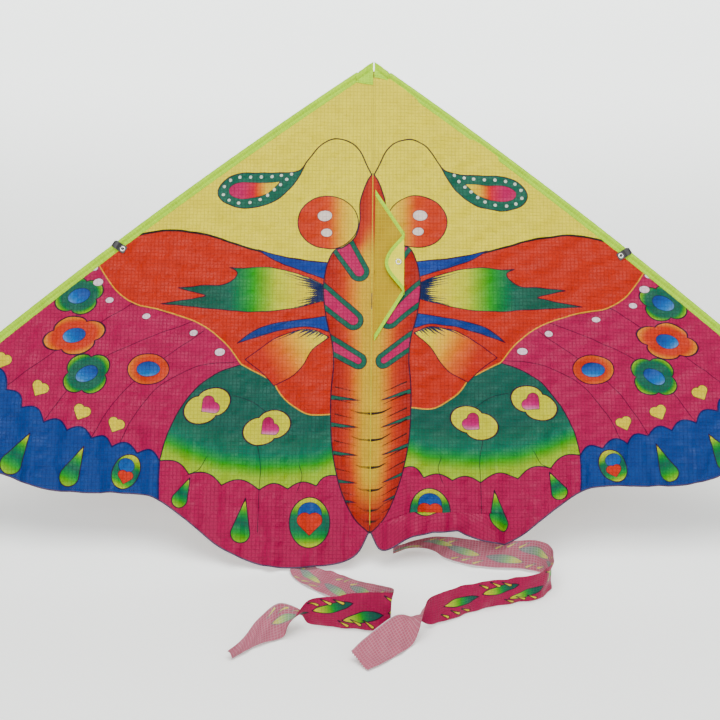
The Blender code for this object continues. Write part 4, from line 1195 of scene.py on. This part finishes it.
def corner_pieces():
    """The corner that lies folded back over the keel, with its tape and eyelet."""

    def bow(q, v):
        return 0.0022 * np.sin(pi * np.clip(q / CORNER_REACH, 0, 1)) + 0.0006 * np.sin(90 * v)

    v = np.linspace(CREASE_FOOT + 0.002, CREASE_TOP - 0.002, 84)[:, None]
    s = np.linspace(0, 1, 30)[None, :]
    outer = corner_edge(v)
    cloth_end = np.maximum(outer - 0.0035, 0.0004)
    q = 0.0002 + (cloth_end - 0.0002) * s
    q, rows = np.broadcast_arrays(q, v)
    uv = np.stack([q, rows], axis=-1)
    panel = thick_sheet("corner_cloth", on_corner(q, rows, bow(q, rows)), CLOTH, uv,
                        [CORNER_CLOTH], True)
    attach(panel, "keel_corner")
    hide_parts("keel_corner_panel")
    line = np.linspace(CREASE_FOOT, CREASE_TOP, 110)
    rim = np.stack([corner_edge(line), line], axis=-1)
    way = np.gradient(rim, axis=0)
    way /= np.linalg.norm(way, axis=1, keepdims=True)
    inward = np.stack([-way[:, 1], way[:, 0]], axis=-1)
    t = np.linspace(0, 1, 9)[:, None, None]
    band = rim[None] + inward[None] * BINDING * t
    q, v = np.maximum(band[..., 0], 0.0), band[..., 1]
    uv = np.stack([q, v], axis=-1)
    tape = thick_sheet("corner_tape", on_corner(q, v, bow(q, v)), 0.0010, uv, [NEON])
    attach(tape, "keel_corner")
    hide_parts("keel_corner_binding")
    row = on_corner(q[6], v[6], bow(q[6], v[6]) + 0.0006)
    thread = stitch_row("corner_stitches", row, in_frame(0.0, 0.0, 1.0), GREEN_THREAD, width=0.0004)
    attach(thread, "keel_corner")
    low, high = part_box("keel_eyelet")
    centre = np.array((low + high) / 2) + in_frame(0.0, 0.0, float(bow(EYELET[0], EYELET[1])))
    section = [(0.0025, -0.0006), (0.0034, -0.0010), (0.0046, -0.0007), (0.0046, -0.0003),
               (0.0033, -0.0002), (0.0033, 0.0002), (0.0046, 0.0003), (0.0046, 0.0007),
               (0.0034, 0.0010), (0.0025, 0.0006)]
    tilt = KEEL_TILT - CORNER_LIFT
    axis = in_frame(-sin(tilt), 0.0, cos(tilt))
    eyelet = ring_piece("rolled_eyelet", centre, axis, section, NICKEL)
    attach(eyelet, "keel_corner")
    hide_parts("keel_eyelet")


# ---- tails --------------------------------------------------------------------------------

# Each row is a point of one long edge and the point across the ribbon from it, as x, y and
# height above the floor, in millimetres.
RIBBONS = {
    "left": (
        ((-35, 16, 2), (-35, 16, 13)),
        ((-52, 14, 2), (-52, 15, 12)),
        ((-88, -2, 2), (-80, 14, 8)),
        ((-112, -28, 2), (-92, 0, 6)),
        ((-104, -58, 2), (-76, -30, 6)),
        ((-72, -90, 2), (-46, -66, 18)),
        ((-34, -120, 2), (-20, -104, 30)),
        ((2, -150, 2), (6, -138, 44)),
        ((25, -176, 2), (26, -166, 56)),
        ((24, -190, 2), (25, -182, 58)),
        ((-10, -186, 2), (-8, -180, 57)),
        ((-48, -180, 2), (-48, -176, 48)),
        ((-82, -176, 6), (-84, -182, 44)),
        ((-98, -172, 26), (-104, -204, 26)),
        ((-122, -178, 38), (-116, -208, 4)),
        ((-146, -200, 30), (-142, -222, 4)),
        ((-168, -232, 16), (-162, -240, 4)),
        ((-184, -252, 12), (-178, -256, 3)),
    ),
    "right": (
        ((35, 16, 2), (35, 16, 13)),
        ((60, 32, 2), (60, 34, 12)),
        ((88, 30, 2), (90, 38, 18)),
        ((112, 2, 3), (116, 18, 30)),
        ((140, -14, 3), (146, 4, 34)),
        ((172, -22, 3), (178, -6, 36)),
        ((208, -24, 3), (212, -8, 40)),
        ((238, -32, 3), (240, -18, 46)),
        ((254, -54, 3), (255, -46, 50)),
        ((251, -82, 3), (253, -80, 48)),
        ((232, -104, 2), (234, -102, 44)),
        ((194, -116, 2), (197, -114, 42)),
        ((150, -132, 2), (153, -128, 44)),
        ((108, -158, 2), (110, -150, 46)),
        ((78, -176, 6), (74, -178, 44)),
        ((54, -186, 24), (68, -202, 32)),
        ((34, -200, 36), (56, -218, 4)),
        ((12, -218, 31), (36, -242, 3)),
        ((-10, -238, 23), (14, -264, 3)),
        ((-26, -252, 15), (-4, -278, 3)),
    ),
}
RIBBON_WIDTH = 0.058


def ribbon_print(s, t):
    """Ribbon fields: pointed leaves with shaded fills and thin slanted strokes, repeated along
    the ribbon at places that differ a little each time."""
    flat = np.stack([s.ravel(), t.ravel()], axis=-1)
    leaves, strokes = [], []
    for k in range(9):
        at = 52 * k + 6 * sin(2.4 * k)
        high = 20 + 18 * ((k * 5) % 3) / 2
        lean = -10 + 9 * sin(1.7 * k)
        leaf = np.maximum(oval(flat, (at + 20, high - 15), 36, 23, lean),
                          oval(flat, (at + 20, high + 15), 36, 23, lean))
        x, _ = local(flat, (at + 20, high), lean)
        shade = ramp(0.5 + x / 0.046, "#04594a", GREEN, "#3f9d4a", "#a9cf33", "#e8dc34")
        leaves.append((leaf, shade))
        for m in range(3):
            foot = (at + 6 + 17 * m, 6 + 2 * (m % 2) + 38 * (k % 2))
            tip = (foot[0] + 13, foot[1] + 9)
            strokes.append(capsule(flat, foot, tip, 2.3, 0.5))
    field, fill = inked(leaves)
    lines = np.minimum.reduce(strokes)
    return {"ribbon_print": np.stack([field, lines, flat[:, 1]], axis=-1)}, {"ribbon_fill": fill}


def ribbons():
    """Each tail is ruled between its two long edges, bowed across its width, and crumpled by
    small waves that run along it. Its far end is frayed into short points."""
    for side, rows in RIBBONS.items():
        table = np.array(rows, float) / 1000
        first, second = (smooth_curve(table[:, k], 26) for k in (0, 1))
        floor = FLOOR_Z + 0.0004
        steps = np.linalg.norm(np.diff((first + second) / 2, axis=0), axis=1)
        along = np.concatenate([[0], np.cumsum(steps)])
        t = np.linspace(0, 1, 60)[:, None]
        s = np.broadcast_to(along[None, :], (60, len(along)))
        points = first[None] + (second - first)[None] * t[..., None]
        ahead = np.gradient(points, axis=1)
        over = np.gradient(points, axis=0)
        normal = np.cross(ahead, over)
        normal /= np.maximum(np.linalg.norm(normal, axis=-1, keepdims=True), 1e-9)
        bow = 0.0030 * np.sin(pi * t) * np.sin(26 * s + 1.0)
        bow = bow + 0.0009 * np.sin(150 * s + 5 * t) + 0.0006 * np.sin(240 * s - 9 * t)
        points = points + normal * (bow * ease(along / 0.05))[..., None]
        fray = 0.004 * np.abs(((t * 9) % 1) - 0.5) * ease((s - along[-1] + 0.02) / 0.02)
        points = points + ahead / np.linalg.norm(ahead, axis=-1, keepdims=True) * fray[..., None]
        points[..., 2] = np.maximum(points[..., 2], 0.0006) + floor
        uv = np.stack([s, RIBBON_WIDTH * np.broadcast_to(t, s.shape)], axis=-1)
        fields, fills = ribbon_print(uv[..., 0], uv[..., 1])
        piece = thick_sheet("tail_cloth_" + side, points, CLOTH, uv, [RIBBON_REVERSE, RIBBON_FACE],
                            False, fields=fields, fills=fills)
        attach(piece, "spine")
        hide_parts("tail_ribbon_" + side)


# ---- what the frame keeps -------------------------------------------------------------------


def finish_frame_nodes():
    """CAD nodes that stay in view get their finish."""
    finishes = {"rod_cap": BLACK_VINYL, "spine_cap": BLACK_VINYL, "spreader_cap": BLACK_VINYL,
                "spreader_hub": BLACK_VINYL, "clip_tab": BLACK_VINYL, "leading_edge_rod": GLASS_FIBRE,
                "spine_rod": GLASS_FIBRE, "spreader_rod": GLASS_FIBRE}
    for name, node in NODES.items():
        for start, material in finishes.items():
            if name.startswith(start):
                for place in node.material_slots:
                    place.material = material


# ---- studio ---------------------------------------------------------------------------------


def studio():
    """A pale floor that curves up into a backdrop, a wide soft light overhead, a fill from the
    front, and a camera that looks down on the kite a little."""
    bend = 1.6
    wall_y = 7.0
    arc = np.linspace(0, pi / 2, 40)
    y = np.concatenate([[-8.0], wall_y - bend + bend * np.sin(arc), [wall_y]])
    z = np.concatenate([[0.0], bend - bend * np.cos(arc), [6.0]])
    x = np.array([-8.0, 8.0])
    grid_y, grid_x = np.meshgrid(y, x, indexing="ij")
    grid_z = np.broadcast_to(z[:, None], grid_y.shape)
    points = np.stack([grid_x, grid_y, grid_z + FLOOR_Z], axis=-1)
    rows, cols = grid_x.shape
    ids = np.arange(rows * cols).reshape(rows, cols)
    corners = [ids[:-1, :-1], ids[:-1, 1:], ids[1:, 1:], ids[1:, :-1]]
    faces = np.stack(corners, axis=-1).reshape(-1, 4)
    # Backdrop paper that glows: painted light, faint near the kite and stronger where the paper runs away
    # from the lamps.
    paper, tree, shader = new_material("studio_paper_painted_glow", Base_Color=rgba("#f4f5f3"), Roughness=0.9,
                                       Emission_Color=rgba("#f4f8f6"))
    place = add_node(tree, "TexCoord").outputs["Object"]
    depth = add_node(tree, "SeparateXYZ", links={0: place}).outputs[1]
    # painted light: the paper's glow grows with its distance back from the lamps
    glow = add_node(tree, "MapRange", {1: 0.4, 2: 3.2, 3: 0.32, 4: 2.1}, {0: depth},
                    interpolation_type="SMOOTHSTEP").outputs[0]
    tree.links.new(glow, shader.inputs["Emission Strength"])
    floor = mesh_piece("floor", points, faces, [paper])
    for name, place, aim, size, power, tint in (
        ("overhead_softbox", (0.0, -0.5, 2.3), (0, 0.1, 0), 2.0, 86, (1.0, 1.0, 0.99)),
        ("front_softbox", (-0.9, -2.4, 1.3), (0, 0, 0.25), 1.6, 34, (1.0, 0.99, 0.97)),
        ("side_softbox", (1.9, -0.9, 1.2), (0, 0, 0.25), 1.0, 12, (0.98, 0.99, 1.0)),
    ):
        light = bpy.data.lights.new(name, "AREA")
        light.size = size
        light.energy = power
        light.color = tint
        lamp = bpy.data.objects.new(name, light)
        lamp.location = place
        lamp.rotation_euler = (Vector(aim) - Vector(place)).to_track_quat("-Z", "Y").to_euler()
        bpy.context.scene.collection.objects.link(lamp)
    world = bpy.data.worlds.new("studio_air")
    world.use_nodes = True
    world.node_tree.nodes["Background"].inputs["Color"].default_value = (0.92, 0.95, 0.94, 1)
    world.node_tree.nodes["Background"].inputs["Strength"].default_value = 0.5
    bpy.context.scene.world = world


def camera():
    place = Vector((-0.043, -1.920, 1.081))
    aim = Vector((-0.0155, 0.2085, 0.181))
    view = bpy.data.cameras.new("camera")
    view.lens = 76.6
    turned = (aim - place).to_track_quat("-Z", "Y").to_matrix() @ Matrix.Rotation(radians(1.05), 3, "Z")
    made = bpy.data.objects.new("camera", view)
    made.matrix_world = Matrix.Translation(place) @ turned.to_4x4()
    bpy.context.scene.collection.objects.link(made)
    bpy.context.scene.camera = made


studio()
camera()
sails()
hems()
sleeves()
rivets()
clip_straps()
nose_patches()
spine_channels()
joiners()
tail_tape()
keel_pieces()
corner_pieces()
ribbons()
finish_frame_nodes()
